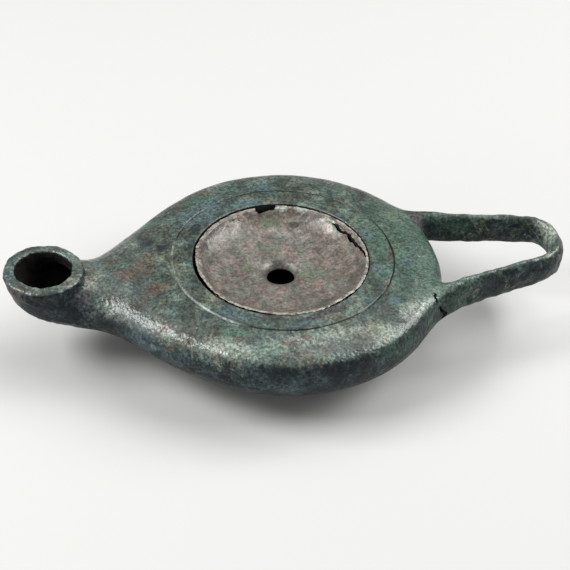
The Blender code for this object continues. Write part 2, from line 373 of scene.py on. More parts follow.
class Relief:
    """Moves a finished mesh's vertices along its normals, to give it dents, pits, marks and corrosion."""

    # Scattered pits start and end at these values of a random field, less their share of the surface.
    PIT_EDGE = (0.55, 0.95)
    # How far a seed moves the random field along each axis.
    SEED_SHIFT = np.array((1.0, 1.7, -1.0))
    # Each finer octave of a random field is half as large and half as high.
    FINER, LOWER = 2.0, 1.0

    def __init__(self, target: bpy.types.Object) -> None:
        """Read a mesh's vertices, in millimetres, and its normals.

        Args:
            target: The mesh object.
        """
        self.target = target
        self.count = len(target.data.vertices)
        self.points = self.read(target.data.vertices, "co", 3).reshape(-1, 3) / MM
        self.normals = self.read(target.data.vertices, "normal", 3).reshape(-1, 3)
        self.push = np.zeros(self.count)
        self.radius = np.hypot(self.points[:, 0], self.points[:, 1])
        self.angle = np.degrees(np.arctan2(self.points[:, 1], self.points[:, 0]))
        self.depth = DECK_HEIGHT - self.points[:, 2]

    def read(self, source: bpy.types.bpy_prop_collection, what: str, width: int = 1) -> np.ndarray:
        """Read a property of every vertex.

        Args:
            source: The collection that holds it.
            what: Its name.
            width: How many numbers each vertex has.

        Returns:
            The numbers, in one row.
        """
        values = np.empty(self.count * width)
        source.foreach_get(what, values)
        return values

    def attribute(self, name: str) -> np.ndarray:
        """Read a float attribute of the vertices."""
        return self.read(self.target.data.attributes[name].data, "value")

    def store(self, name: str, values: np.ndarray) -> None:
        """Write a float attribute on the vertices, for a material to read.

        Args:
            name: The attribute's name.
            values: Its value at each vertex.
        """
        data = self.target.data
        layer = data.attributes.get(name) or data.attributes.new(name, "FLOAT", "POINT")
        layer.data.foreach_set("value", values.astype(np.float32))

    def store_stains(self, stains: dict[str, tuple[Blot, ...]]) -> None:
        """Write an attribute for each stain, with its strongest patch at each vertex."""
        for name, blots in stains.items():
            self.store(name, np.max([blot.share(self.points) for blot in blots], axis=0))

    def field(self, size: float, seed: float, octaves: int = 1) -> np.ndarray:
        """Sample a random field of about -1 to 1 whose lumps have a size, at each vertex."""
        places = self.points / size + self.SEED_SHIFT * seed
        return np.array([noise.fractal(Vector(p), self.LOWER, self.FINER, octaves) for p in places])

    def ripple(self, waves: Waves, height: np.ndarray | float, mask: np.ndarray) -> None:
        """Raise and sink the surface by random waves of a height, where the mask is 1."""
        self.push += self.field(waves.size, waves.seed, 2) * height * mask

    def pits(self, waves: Waves, sunk: float, share: float, mask: np.ndarray) -> None:
        """Sink scattered pits.

        Args:
            waves: The random waves that the pits lie in.
            sunk: How deep they are.
            share: How much of the surface they take, from 0 to 1.
            mask: How strong they are at each vertex.
        """
        start, end = self.PIT_EDGE
        found = Fade(start - share, end - share).of(-self.field(waves.size, waves.seed))
        self.push -= found * sunk * mask

    def dent(self, pit: Pit) -> None:
        """Sink one soft pit.

        Args:
            pit: The pit.
        """
        x, y, depth = pit.place
        away = np.linalg.norm(self.points - np.array((x, y, DECK_HEIGHT - depth)), axis=1)
        self.push -= Fade(pit.radius, 0.0).of(away) * pit.sunk

    def spread(self, reach: np.ndarray) -> None:
        """Move each vertex away from the disc's axis by its reach."""
        flat = self.points[:, :2]
        flat += flat / np.maximum(self.radius, 1.0)[:, None] * reach[:, None]

    def finish(self) -> None:
        """Move the vertices."""
        moved = (self.points + self.normals * self.push[:, None]) * MM
        self.target.data.vertices.foreach_set("co", moved.ravel())
        self.target.data.update()


@dataclass(frozen=True)
class Cut:
    """A ragged crack or break: a jagged blade that is taken away along a path on a piece's surface.

    The path's points are (x, y, depth), with a width at each, and the blade reaches out of and into the
    metal along one direction.
    """

    name: str
    path: tuple[Place, ...]
    widths: tuple[float, ...]
    into: Place
    reach_out: float = 1.5
    reach_in: float = 1.5
    taper: float = 0.35
    jag: float = 0.25
    step: float = 0.6
    seed: float = 0.0
    # Random fields along the path, by their pace, size and row of the noise: two bend the blade, to the
    # scale of its jag, and one widens and narrows it.
    slow_sway: Place = (0.23, 2.0, 3.1)
    fast_sway: Place = (0.83, 0.6, 7.9)
    swell: Place = (0.47, 0.9, 8.7)

    def stations(self) -> list[tuple[Vector, float]]:
        """Divide the path into steps.

        Returns:
            Points along the path, a step apart, with the width at each.
        """
        found = []
        for i in range(len(self.path) - 1):
            first, second = at(*self.path[i]) / MM, at(*self.path[i + 1]) / MM
            count = max(1, round((second - first).length / self.step))
            for k in range(count):
                share = k / count
                width = self.widths[i] + (self.widths[i + 1] - self.widths[i]) * share
                found.append((first.lerp(second, share), width))
        found.append((at(*self.path[-1]) / MM, self.widths[-1]))
        return found

    def shift(self, station: int) -> float:
        """Find how far the blade is off its path.

        Args:
            station: The number of a point along the path.

        Returns:
            The distance there, to one side.
        """
        shift = 0.0
        for pace, size, row in (self.slow_sway, self.fast_sway):
            shift += noise.noise(Vector((station * pace + self.seed, row, self.seed))) * self.jag * size
        return shift

    def sections(self) -> list[Loop]:
        """Lay the blade, shifted and widened by random fields.

        Returns:
            Its four-cornered sections, along the path.
        """
        into = Vector(self.into).normalized()
        stations = self.stations()
        pace, size, row = self.swell
        loops = []
        for i, (point, width) in enumerate(stations):
            run = stations[min(i + 1, len(stations) - 1)][0] - stations[max(i - 1, 0)][0]
            side = run.cross(into).normalized()
            half = width * (1.0 + noise.noise(Vector((i * pace, self.seed, row))) * size) / 2.0
            outer, inner = point - into * self.reach_out, point + into * self.reach_in
            tip = half * self.taper
            corners = ((outer, half), (inner, tip), (inner, -tip), (outer, -half))
            shift = self.shift(i)
            loops.append([(corner + side * (reach + shift)) * MM for corner, reach in corners])
        return loops

    def take_from(self, piece: Workpiece) -> None:
        """Cut a piece.

        Args:
            piece: The piece, in object mode.
        """
        loops = self.sections()
        blade = Workpiece(self.name, loops[0])
        blade.loft(loops)
        blade.close(loops[0])
        blade.close(loops[-1])
        blade.face_outward()
        bpy.ops.object.mode_set(mode="OBJECT")
        piece.activate()
        piece.apply("TRIANGULATE", quad_method="BEAUTY", ngon_method="BEAUTY")
        piece.apply("BOOLEAN", operation="DIFFERENCE", solver="EXACT", object=blade.object)
        bpy.data.objects.remove(blade.object, do_unlink=True)
        piece.clean_cut()


# The spout's portal in the wall is this many faces wide.
SPOUT_COLUMNS = 5


@dataclass(frozen=True)
class SpoutSection:
    """One section of the spout: the (x, depth) of its top and bottom, half its width and its squareness."""

    top: Pair
    bottom: Pair
    half_width: float
    squareness: float = 2.0

    def loop(self, corners: int, wall: float = 0.0) -> Loop:
        """Lay the section's points.

        Args:
            corners: How many points it has.
            wall: How far it is inset.

        Returns:
            The points, from the top towards the near side.
        """
        top, bottom = Vector(self.top), Vector(self.bottom)
        inward = (bottom - top).normalized() * wall
        top, bottom = top + inward, bottom - inward
        power = 2.0 / self.squareness
        points = []
        for i in range(corners):
            angle = (SPOUT_COLUMNS / 2 - i) * math.tau / corners
            side = math.copysign(abs(math.sin(angle)) ** power, math.sin(angle))
            rise = math.copysign(abs(math.cos(angle)) ** power, math.cos(angle))
            middle = (top + bottom + rise * (top - bottom)) / 2
            points.append(at(middle.x, side * (self.half_width - wall), middle.y))
        return points


@dataclass(frozen=True)
class Spout:
    """The short spout that flares up into a round nozzle with a flat lip."""

    sections: tuple[SpoutSection, ...] = (
        SpoutSection((-42.2, -0.1), (-42.9, 16.2), 21.1, 2.3),
        SpoutSection((-47.4, 0.2), (-49.3, 15.3), 14.5, 2.2),
        SpoutSection((-51.2, 0.2), (-57.0, 14.6), 11.8, 2.1),
        SpoutSection((-53.2, 0.1), (-66.0, 12.0), 11.5, 2.2),
        SpoutSection((-54.4, -0.3), (-74.3, 8.0), 11.4, 2.1),
    )
    nozzle_x: float = -66.0
    nozzle_radius: float = 11.4
    rim_rise: float = 2.75
    wick_hole_radius: float = 7.9
    # Rings up the nozzle's outer wall and lip, and down the wick hole: how far each is outside the nozzle's
    # or the wick hole's radius, and how far below the rim.
    lip_rings: tuple[Pair, ...] = ((0.0, 2.0), (0.0, 0.3), (-1.6, -0.1))
    wick_hole_rings: tuple[Pair, ...] = ((0.35, 0.0), (-0.1, 0.6), (-0.1, 4.0))

    def loops(self, portal: Loop, wall: float) -> list[Loop]:
        """Return the loops of one skin, from the portal to the foot of the nozzle."""
        return [portal] + [section.loop(len(portal), wall) for section in self.sections]

    def nozzle_loop(self, corners: int, radius: float, below_rim: float) -> Loop:
        """Return one level ring of the nozzle, by its radius and its depth below the rim."""
        x, level = self.nozzle_x, below_rim - self.rim_rise
        return SpoutSection((x + radius, level), (x - radius, level), radius).loop(corners)

    def nozzle_loops(self, corners: int) -> list[Loop]:
        """Lay the nozzle's rings.

        Args:
            corners: How many points each has.

        Returns:
            The rings, up the outer wall, over the lip and down the wick hole.
        """
        outline = [(self.nozzle_radius + out, below) for out, below in self.lip_rings]
        outline += [(self.wick_hole_radius + out, below) for out, below in self.wick_hole_rings]
        return [self.nozzle_loop(corners, radius, below) for radius, below in outline]


@dataclass(frozen=True)
class Handle:
    """The loop handle, a band on edge that runs from one side of the back round to the other."""

    root: Pair = (45.2, 16.8)
    arm_start: Pair = (39.7, 17.0)
    arm_end: Pair = (71.5, 9.7)
    arm_stations: tuple[float, ...] = (0.3, 0.62, 1.0)
    apex_turns: tuple[float, ...] = (math.radians(28.0), math.radians(56.0))
    apex_x: float = 79.8
    loop_middle: Pair = (60.0, 0.0)
    # The depth of the top edge at the root, the arms' end and the apex, and the band's height at the root
    # and the apex.
    top_depths: Place = (0.9, -0.6, -0.5)
    heights: Pair = (10.7, 9.4)
    thicknesses: tuple[float, ...] = (5.5, 3.3, 3.3, 3.5, 4.1, 4.6, 4.8)
    # A section's corners: (share of half the thickness, share of the height), from its inner top edge.
    arm_profile: tuple[Pair, ...] = (
        (-0.62, 0.0), (-1.08, 0.5), (-0.7, 1.0), (0.7, 1.0), (1.08, 0.5), (0.62, 0.0),
    )
    apex_profile: tuple[Pair, ...] = (
        (-0.46, 0.0), (-1.12, 0.42), (-0.42, 0.96), (0.6, 1.0), (1.08, 0.5), (0.56, 0.0),
    )

    def path(self) -> Loop:
        """Lay the centre line in plan.

        Returns:
            Its points, from the +Y root round the apex to the -Y root.
        """
        start, end = Vector(self.arm_start), Vector(self.arm_end)
        half = [Vector(self.root)] + [start.lerp(end, share) for share in self.arm_stations]
        for turn in self.apex_turns:
            reach = (self.apex_x - end.x) * math.sin(turn)
            half.append(Vector((end.x + reach, end.y * math.cos(turn))))
        return half + [Vector((self.apex_x, 0.0))] + [Vector((p.x, -p.y)) for p in reversed(half)]

    def section(self, point: Vector, outward: Vector, station: int) -> Loop:
        """Lay one six-cornered section.

        Args:
            point: Where the centre line is, in plan.
            outward: The direction out of the loop, in plan.
            station: The section's number, counted from the nearer root.

        Returns:
            The corners, from the inner top edge down and up to the outer top edge.
        """
        profile = self.arm_profile if station <= len(self.arm_stations) else self.apex_profile
        run = self.apex_x - self.arm_start[0]
        share = (point.x - self.arm_start[0]) / run
        turn = (self.arm_end[0] - self.arm_start[0]) / run
        root, middle, apex = self.top_depths
        if share < turn:
            top = root + (middle - root) * share / turn
        else:
            top = middle + (apex - middle) * (share - turn) / (1.0 - turn)
        height = self.heights[0] + (self.heights[1] - self.heights[0]) * share
        loop = []
        for side, drop in profile:
            place = point + outward * side * self.thicknesses[station] / 2
            loop.append(at(place.x, place.y, top + drop * height))
        return loop

    def loops(self) -> list[Loop]:
        """Lay the band.

        Returns:
            Its sections, from the +Y root to the -Y root.
        """
        path = self.path()
        last = len(path) - 1
        loops = []
        for i, point in enumerate(path):
            run = path[min(i + 1, last)] - path[max(i - 1, 0)]
            outward = Vector((run.y, -run.x)).normalized()
            if outward.dot(point - Vector(self.loop_middle)) < 0.0:
                outward.negate()
            loops.append(self.section(point, outward, min(i, last - i)))
        return loops


# Where minerals and soot gather on the body, and where light and shade are painted on it.
BODY_STAINS_AND_PAINTED_LIGHT: dict[str, tuple[Blot, ...]] = {
    "sea_green": (
        Blot((42.0, 0.0, 2.0), (34.0, 60.0, 30.0), 0.7),
        Blot((-35.2, 22.4, 2.3), (7.0, 4.0, 4.0)),
        Blot((-20.0, 29.0, 1.0), (8.0, 5.0, 4.0), 0.8),
        Blot((-43.0, 2.5, 0.3), (5.0, 3.0, 3.0)),
        Blot((-9.0, -36.5, 1.2), (9.0, 3.5, 3.0)),
        Blot((-17.3, -29.6, 0.5), (8.0, 3.5, 3.0), 0.8, -25.0),
        Blot((-7.0, -42.7, 9.7), (6.0, 4.0, 4.0), 0.9),
        Blot((26.8, -35.4, 4.8), (14.0, 10.0, 9.0), 0.65, 40.0),
    ),
    "blue": (
        Blot((-0.1, 34.4, 0.5), (5.5, 4.5, 3.0)),
        Blot((-20.0, 24.0, 0.1), (15.0, 9.0, 4.0), 0.9, 40.0),
        Blot((-6.4, 26.2, 0.1), (9.0, 3.5, 3.0), 0.9, 10.0),
        Blot((-16.3, -23.1, 0.2), (8.0, 2.6, 3.0), 1.0, -35.0),
        Blot((1.8, -28.8, 0.2), (10.0, 2.2, 3.0), 0.7, 4.0),
        Blot((28.0, -21.7, 0.9), (4.0, 4.0, 3.0), 0.8),
        Blot((26.0, -8.0, 0.1), (3.0, 4.0, 3.0), 0.9),
        Blot((25.4, 8.0, 0.1), (2.6, 6.0, 3.0), 0.9, 20.0),
        Blot((35.1, -5.5, 0.9), (4.0, 4.5, 3.0), 0.8),
        Blot((-40.0, -25.0, 8.0), (22.0, 10.0, 7.0), 0.75, -40.0),
        Blot((-5.0, -43.5, 8.0), (26.0, 9.0, 7.0), 0.6),
        Blot((-51.2, 4.0, 0.6), (5.0, 3.5, 3.0)),
    ),
    "navy": (
        Blot((-36.3, 12.5, 1.4), (3.4, 2.6, 3.0)),
        Blot((-32.4, 9.2, 0.6), (2.6, 3.0, 3.0)),
        Blot((-22.2, 15.9, 0.0), (2.6, 5.0, 3.0), 1.0, -35.0),
        Blot((6.2, -43.4, 7.0), (24.0, 5.0, 6.0), 0.72),
        Blot((46.5, 15.0, 6.0), (5.0, 5.0, 6.0), 0.8),
        Blot((58.0, -15.0, 5.0), (10.0, 4.0, 6.5), 1.0, -13.0),
        Blot((73.0, -11.0, 5.0), (5.0, 4.0, 5.0), 0.7),
        # Painted shade in the valley behind the nozzle's rim and on the wall under its lip.
        Blot((-59.0, -9.4, 1.0), (6.0, 4.0, 4.0)),
        Blot((-65.0, -11.0, 4.6), (14.0, 6.5, 5.4), 1.1),
    ),
    # Painted light: the near sides lighter where the shoulders' highlight reaches down.
    "painted_side_light": (
        Blot((-28.0, -32.5, 5.0), (19.0, 7.0, 4.0), 1.0, -38.0),
        Blot((40.0, -24.0, 5.0), (7.0, 7.0, 4.0), 0.3, 40.0),
    ),
    "rust": (
        Blot((-43.0, -1.5, 0.3), (7.0, 5.0, 3.0), 0.55),
        Blot((-38.0, 1.5, 1.0), (8.0, 8.0, 3.0), 0.5),
        Blot((-35.5, -8.0, 1.0), (7.0, 3.6, 3.0), 0.65),
        Blot((-35.3, -22.9, 2.5), (3.0, 2.4, 2.5), 0.9),
        Blot((-29.3, -29.4, 2.5), (1.6, 1.6, 1.6)),
        Blot((-34.5, -27.3, 6.2), (2.2, 2.0, 2.0)),
        Blot((-2.8, -35.2, 0.9), (4.0, 1.8, 2.0), 0.9),
        Blot((1.5, -33.6, 0.6), (3.0, 1.5, 2.0), 0.8),
        Blot((5.4, -39.2, 1.4), (2.0, 1.6, 2.0), 0.8),
        Blot((-16.2, -31.6, 0.7), (3.0, 1.4, 2.0), 0.7),
        Blot((27.5, -14.6, 0.3), (2.2, 2.2, 2.0), 0.9),
        Blot((31.0, -3.0, 0.3), (1.0, 8.0, 2.0), 0.85, -4.0),
        Blot((43.3, 12.8, 3.8), (2.2, 1.6, 5.0), 1.0, 20.0),
        Blot((-73.5, -5.0, 1.0), (5.0, 9.0, 6.0), 0.6),
        Blot((-53.6, -2.9, 0.2), (4.0, 4.0, 3.0), 0.5),
    ),
    "pale": (
        Blot((-26.6, 10.1, 0.1), (3.0, 3.4, 2.5), 0.7),
        Blot((-38.7, -23.7, 8.2), (2.4, 2.0, 1.9)),
        # Painted sheen, partly pale mineral: the near deck and shoulders lighter along the band where the
        # lamps shine.
        Blot((32.0, -25.0, 1.7), (8.0, 5.0, 3.0), 0.85, 45.0),
        Blot((23.7, -33.2, 1.7), (10.0, 4.5, 3.0), 0.7, 32.0),
        Blot((4.0, -33.5, 1.0), (32.0, 7.5, 3.0), 0.66, 6.0),
        Blot((-54.0, -2.9, 0.2), (4.0, 3.4, 2.5)),
        Blot((77.8, 1.6, 1.6), (4.4, 8.5, 5.5)),
        # Painted sheen, partly pale mineral: the near-left shoulder, and the handle's top edges.
        Blot((-20.0, -34.0, 1.6), (15.0, 6.5, 3.0), 0.8, -28.0),
        Blot((62.8, 11.1, 0.4), (12.0, 1.6, 1.2), 0.6, -13.0),
        Blot((57.0, -15.8, 0.3), (8.0, 2.0, 1.3), 0.8, 14.0),
        Blot((-66.0, -6.0, -2.6), (12.0, 8.0, 1.6), 0.55),
    ),
    "soot_and_shade": (
        Blot((9.5, -24.6, 0.1), (13.0, 2.2, 3.0), 0.9, 20.0),
        Blot((43.0, 18.0, 0.8), (7.0, 3.5, 3.0), 1.0, -10.0),
        Blot((-66.0, 0.0, 7.0), (10.5, 10.5, 8.0), 0.8),
        # Painted shade in the valleys behind the nozzle's rim and at the handle's far root.
        Blot((-57.0, -9.2, 1.2), (5.8, 4.4, 3.8)),
        Blot((42.4, 13.9, 2.2), (4.0, 4.5, 3.5)),
        Blot((-61.0, 10.5, 2.5), (4.5, 5.0, 5.0), 0.6),
    ),
}


@dataclass(frozen=True)
class BodyZones:
    """Where the zones of the body fade in and out."""

    # By how far the surface faces up; upward also sets where the sides' painted shade begins.
    level: Fade = Fade(0.8, 0.95)
    upward: Fade = Fade(0.25, 0.9)
    # By depth: the deck, the top of the seat's wall, and the body's sides.
    deck: Fade = Fade(3.0, 2.0)
    seat_depth: Fade = Fade(0.1, 0.35)
    sides: Fade = Fade(6.0, 8.0)
    # By radius: outside the seat, on its wall, and on the flat of the deck.
    past_seat: Fade = Fade(25.2, 26.2)
    seat_wall: Fade = Fade(25.2, 24.95)
    flat: Fade = Fade(40.0, 35.0)
    # Along x: behind the spout, on the handle, and on the nozzle.
    behind_spout: Fade = Fade(-50.0, -44.0)
    handle: Fade = Fade(44.5, 50.0)
    nozzle: Fade = Fade(-51.0, -56.0)
    # By height above the ground, and by the distance from the nozzle's axis.
    foot: Fade = Fade(1.2, 0.4)
    bore: Fade = Fade(8.0, 7.6)


@dataclass(frozen=True)
class EngravedRing:
    """The shallow ring cut round the opening, wide and worn towards the spout's near side."""

    centre: Pair = (0.6, 0.3)
    radius: float = 31.1
    sunk: float = 0.42
    # The widths inside and outside the ring's line, and what its worn stretch adds to them and its depth.
    inner: float = 0.38
    outer: float = 0.32
    worn_inner: float = 0.2
    worn_outer: float = 0.1
    worn_sunk: float = 0.12
    worn_angle: float = -160.0
    worn_fade: Fade = Fade(52.0, 30.0)
    waver: Waves = Waves(9.0, 31.0, 0.12)

    def cut(self, relief: Relief, deck: np.ndarray) -> np.ndarray:
        """Cut the ring.

        Args:
            relief: The body's relief.
            deck: Which vertices are on the deck.

        Returns:
            How deep in the groove each vertex is, from 0 to 1.
        """
        x, y = self.centre
        across = relief.points[:, 0] - x
        along = relief.points[:, 1] - y
        angle = np.degrees(np.arctan2(along, across))
        waver = relief.field(self.waver.size, self.waver.seed) * self.waver.height
        away = np.hypot(across, along) - self.radius + waver
        worn = self.worn_fade.of(np.abs((angle - self.worn_angle + 180.0) % 360.0 - 180.0))
        inner = self.inner + self.worn_inner * worn
        outer = self.outer + self.worn_outer * worn
        groove = np.where(away < 0.0, 1.0 + away / inner, 1.0 - away / outer)
        groove = np.clip(groove, 0.0, 1.0) * deck
        relief.push -= groove * (self.sunk + self.worn_sunk * worn)
        relief.store("worn_groove", groove * worn)
        return groove


@dataclass(frozen=True)
class LampBody:
    """The hollow cast body, one piece with its spout and handle."""

    name: str = "patinated_body"
    segments: int = 32
    wall: float = 2.4
    seat_radius: float = 24.3
    body_shift: float = 1.8
    foot_radius: float = 22.5
    foot_edge: float = 0.8
    foot_bevel: float = 1.0
    foot_loop: float = 4.0
    seat_drop: float = 0.2
    # The outside is divided again above this height, where its mark is stronger than this share.
    fine_from: float = 2.0
    fine_share: float = 0.2
    fine_cuts: int = 2
    deck_rings: tuple[Ring, ...] = (Ring(25.0, 0.0), Ring(30.0, 0.15), Ring(32.0, 0.3), Ring(36.8, 0.95))
    wall_rings: tuple[Ring, ...] = (
        Ring(41.8, 1.75), Ring(43.9, 3.9), Ring(44.3, 12.4), Ring(38.8, 17.1), Ring(31.9, 22.9),
    )
    inner_deck_rings: tuple[Ring, ...] = (Ring(25.0, 0.0), Ring(31.0, 0.1))
    # How far the wall is drawn out beside the spout, and one column further on.
    flare: Pair = (3.5, 1.4)
    handle_column: int = 2
    handle_rows: int = 3
    seat_sharpness: float = 0.9
    inner_sharpness: float = 0.8
    zones: BodyZones = BodyZones()
    ring: EngravedRing = EngravedRing()
    waves: tuple[Waves, ...] = (
        Waves(13.0, 3.0, 0.14),
        Waves(5.5, 7.0, 0.04, 0.34, 0.05),
        Waves(2.2, 11.0, 0.02, 0.13, 0.2),
    )
    inside_waves: Waves = Waves(3.0, 23.0, 0.25)
    pitting: Waves = Waves(3.4, 19.0, 0.2, 0.8, 0.8)
    pitting_depth: float = 0.16
    pitting_share: float = 0.2
    # How much less coarse the patina is on the flat deck, and how much coarser on the handle.
    deck_polish: float = 0.72
    handle_coarseness: float = 0.1
    # Painted light from the left: the sides towards the nozzle are painted lighter than those towards the
    # handle.
    handle_shade: float = 0.24
    pits: tuple[Pit, ...] = (
        Pit((-29.3, -29.4, 2.5), 1.5, 0.55),
        Pit((-31.0, -27.5, 2.0), 1.1, 0.4),
        Pit((-35.6, -23.4, 2.5), 1.6, 0.35),
        Pit((-3.0, -38.6, 1.4), 1.2, 0.4),
        Pit((6.0, -39.4, 1.6), 1.2, 0.35),
        Pit((-47.0, -15.5, 3.0), 1.3, 0.35),
        Pit((27.5, -14.6, 0.3), 1.5, 0.4),
        Pit((-57.6, 2.2, -2.5), 2.2, 0.8),
        Pit((-57.9, 5.4, -2.6), 1.6, 0.6),
        Pit((-74.0, -8.0, -1.2), 1.5, 0.5),
        Pit((-70.5, -10.4, -0.6), 1.5, 0.45),
        Pit((-73.0, -9.3, 1.6), 1.4, 0.4),
        Pit((-68.0, -11.0, 0.8), 1.3, 0.4),
    )
    spout: Spout = Spout()
    handle: Handle = Handle()
    root_crack: Cut = Cut(
        "root_crack",
        ((39.75, -18.7, 1.8), (39.8, -19.6, 2.1), (39.9, -20.4, 2.8), (40.1, -20.9, 3.6)),
        (0.3, 0.75, 0.7, 0.2),
        (-0.35, 0.62, -0.5),
        reach_in=1.6,
        seed=2.0,
    )
    root_wedge: Cut = Cut(
        "root_wedge",
        (
            (40.9, -21.0, 4.9), (41.5, -20.8, 6.0), (42.5, -20.4, 7.8), (42.9, -20.1, 9.4),
            (42.6, -20.1, 10.8),
        ),
        (0.25, 1.0, 1.9, 2.2, 1.6),
        (-0.35, 0.62, -0.5),
        reach_in=1.6,
        seed=4.0,
    )

    def foot_rings(self) -> tuple[Ring, ...]:
        """Return the rings of the flat foot."""
        return (
            Ring(self.foot_radius + self.foot_edge, DECK_HEIGHT - self.foot_bevel),
            Ring(self.foot_radius, DECK_HEIGHT),
            Ring(self.foot_radius - self.foot_loop, DECK_HEIGHT),
        )

    def portal_columns(self) -> list[int]:
        """Return the numbers of the columns that bound the spout's portal, from +Y round to -Y."""
        first = (self.segments - SPOUT_COLUMNS) // 2
        return [first + i for i in range(SPOUT_COLUMNS + 1)]

    def rows(self, deck: Sequence[Ring], wall: Sequence[Ring], foot: Sequence[Ring]) -> list[Loop]:
        """Lay a turned skin, shifted back from the disc's axis and drawn out beside the spout.

        Args:
            deck: The rings of its deck.
            wall: The rings of its wall.
            foot: The rings of its foot.

        Returns:
            One row of points for each ring.
        """
        near, far = self.flare
        columns = self.portal_columns()
        pulls = {columns[0]: near, columns[1]: near, columns[-1]: near, columns[-2]: near}
        pulls.update({columns[0] - 1: far, columns[-1] + 1: far})
        first, last = len(deck), len(deck) + len(wall)
        rows = []
        for i, ring in enumerate([*deck, *wall, *foot]):
            shift = self.body_shift if first < i < last else 0.0
            if i == first:
                shift = self.body_shift / 2
            row = []
            for column in range(self.segments):
                angle = (column + 0.5) * math.tau / self.segments
                point = polar(ring.radius, angle, ring.depth) + Vector((shift, 0.0, 0.0)) * MM
                if first < i < last - 1 and column in pulls:
                    outward = Vector((point.x, point.y, 0.0)).normalized()
                    point += outward * pulls[column] * MM
                row.append(point)
            rows.append(row)
        return rows

    def open_portal(self, piece: Workpiece, rows: list[Loop]) -> Loop:
        """Cut the wall away in front of the spout.

        Args:
            piece: The body, in edit mode.
            rows: The rows of its wall.

        Returns:
            The loop round the portal.
        """
        columns = self.portal_columns()
        piece.select_points([row[c] for row in rows for c in columns])
        bpy.ops.mesh.delete(type="FACE")
        loop = [rows[0][c] for c in columns]
        loop += [row[columns[-1]] for row in rows[1:-1]]
        loop += [rows[-1][c] for c in reversed(columns)]
        loop += [row[columns[0]] for row in reversed(rows[1:-1])]
        return loop

    def grow_handle(self, piece: Workpiece, rows: list[Loop]) -> None:
        """Grow the handle from two patches of the outer wall.

        Args:
            piece: The body, in edit mode.
            rows: The upper, middle and lower row of the patches.
        """
        upper, middle, lower = rows
        first, second = self.handle_column - 1, self.handle_column
        roots = []
        for inner, outer in ((first, second), (self.segments - second, self.segments - second - 1)):
            corners = [upper[inner], middle[inner], lower[inner], lower[outer], middle[outer], upper[outer]]
            piece.select_points(corners)
            bpy.ops.mesh.delete(type="ONLY_FACE")
            roots.append(corners)
        for patch in roots:
            piece.select_points([patch[1], patch[4]])
            bpy.ops.mesh.delete(type="EDGE")
        loops = self.handle.loops()
        piece.loft([roots[0], *loops])
        piece.bridge(loops[-1], roots[1])

    def model_skin(self, piece: Workpiece, rows: list[Loop], deck: int, wall: float) -> list[Loop]:
        """Model one skin of the body and its spout, from its first row, which is in the mesh already.

        Args:
            piece: The body, in edit mode.
            rows: The skin's rows.
            deck: How many of them are its deck.
            wall: How far its spout is inset.

        Returns:
            The spout's loops, from the portal on.
        """
        piece.extrude(rows)
        piece.close(rows[-1])
        portal = self.open_portal(piece, rows[deck:deck + len(self.wall_rings)])
        loops = self.spout.loops(portal, wall)
        piece.loft(loops)
        return loops

    def model(self) -> Workpiece:
        """Model the control cage.

        Returns:
            The piece, in edit mode.
        """
        foot = self.foot_rings()
        outer = self.rows(self.deck_rings, self.wall_rings, foot)
        top = len(self.deck_rings)
        piece = Workpiece(self.name, outer[0])
        spout = self.model_skin(piece, outer, top, 0.0)
        nozzle = self.spout.nozzle_loops(len(spout[0]))
        piece.loft([spout[-1], *nozzle])
        self.grow_handle(piece, outer[top:top + self.handle_rows])
        piece.mark_all("outside")

        outline = [*self.inner_deck_rings, *self.wall_rings, *foot]
        seat = Ring(self.seat_radius, self.wall + self.seat_drop)
        inset = [seat] + inset_outline(outline, self.wall)[1:-1]
        top = len(self.inner_deck_rings)
        wall_end = top + len(self.wall_rings)
        inner = self.rows(inset[:top], inset[top:wall_end], inset[wall_end:])
        piece.add_loop(inner[0])
        channel = self.model_skin(piece, inner, top, self.wall)
        piece.bridge(nozzle[-1], channel[-1])
        piece.bridge(outer[0], inner[0])
        piece.crease(outer[0], self.seat_sharpness)
        piece.crease(inner[0], self.inner_sharpness)
        piece.crease(outer[-2], self.seat_sharpness)
        piece.face_outward()
        return piece

    def refine_outside(self, piece: Workpiece) -> None:
        """Divide the faces that show, from just above the foot up.

        Args:
            piece: The body, in object mode.
        """
        bpy.ops.object.mode_set(mode="EDIT")
        bpy.ops.mesh.select_mode(type="VERT")
        bpy.ops.mesh.select_all(action="DESELECT")
        mesh = piece.mesh
        layer = mesh.verts.layers.float["outside"]
        for vertex in mesh.verts:
            vertex.select = vertex[layer] > self.fine_share and vertex.co.z > self.fine_from * MM
        mesh.select_flush(True)
        bmesh.update_edit_mesh(piece.object.data)
        bpy.ops.mesh.subdivide(
            number_cuts=self.fine_cuts, smoothness=1.0, ngon=False, quadcorner="INNERVERT",
        )
        bpy.ops.object.mode_set(mode="OBJECT")

    def make(self) -> Workpiece:
        """Model the body, and smooth, wear and crack it.

        Returns:
            The finished piece.
        """
        piece = self.model()
        piece.smooth()
        self.refine_outside(piece)
        self.wear(piece.object)
        for cut in (self.root_crack, self.root_wedge):
            cut.take_from(piece)
        return piece

    def corrode(self, relief: Relief, outside: np.ndarray, inside: np.ndarray) -> None:
        """Sink and raise the cast skin.

        Args:
            relief: The body's relief.
            outside: How freely each vertex of the outside moves.
            inside: Which vertices are inside.
        """
        handle = self.zones.handle.of(relief.points[:, 0])
        nozzle = self.zones.nozzle.of(relief.points[:, 0])
        for waves in self.waves:
            relief.ripple(waves, waves.height_at(handle, nozzle), outside)
        pitted = outside * self.pitting.height_at(handle, nozzle)
        relief.pits(self.pitting, self.pitting_depth, self.pitting_share, pitted)
        relief.ripple(self.inside_waves, self.inside_waves.height, inside)
        for pit in self.pits:
            relief.dent(pit)

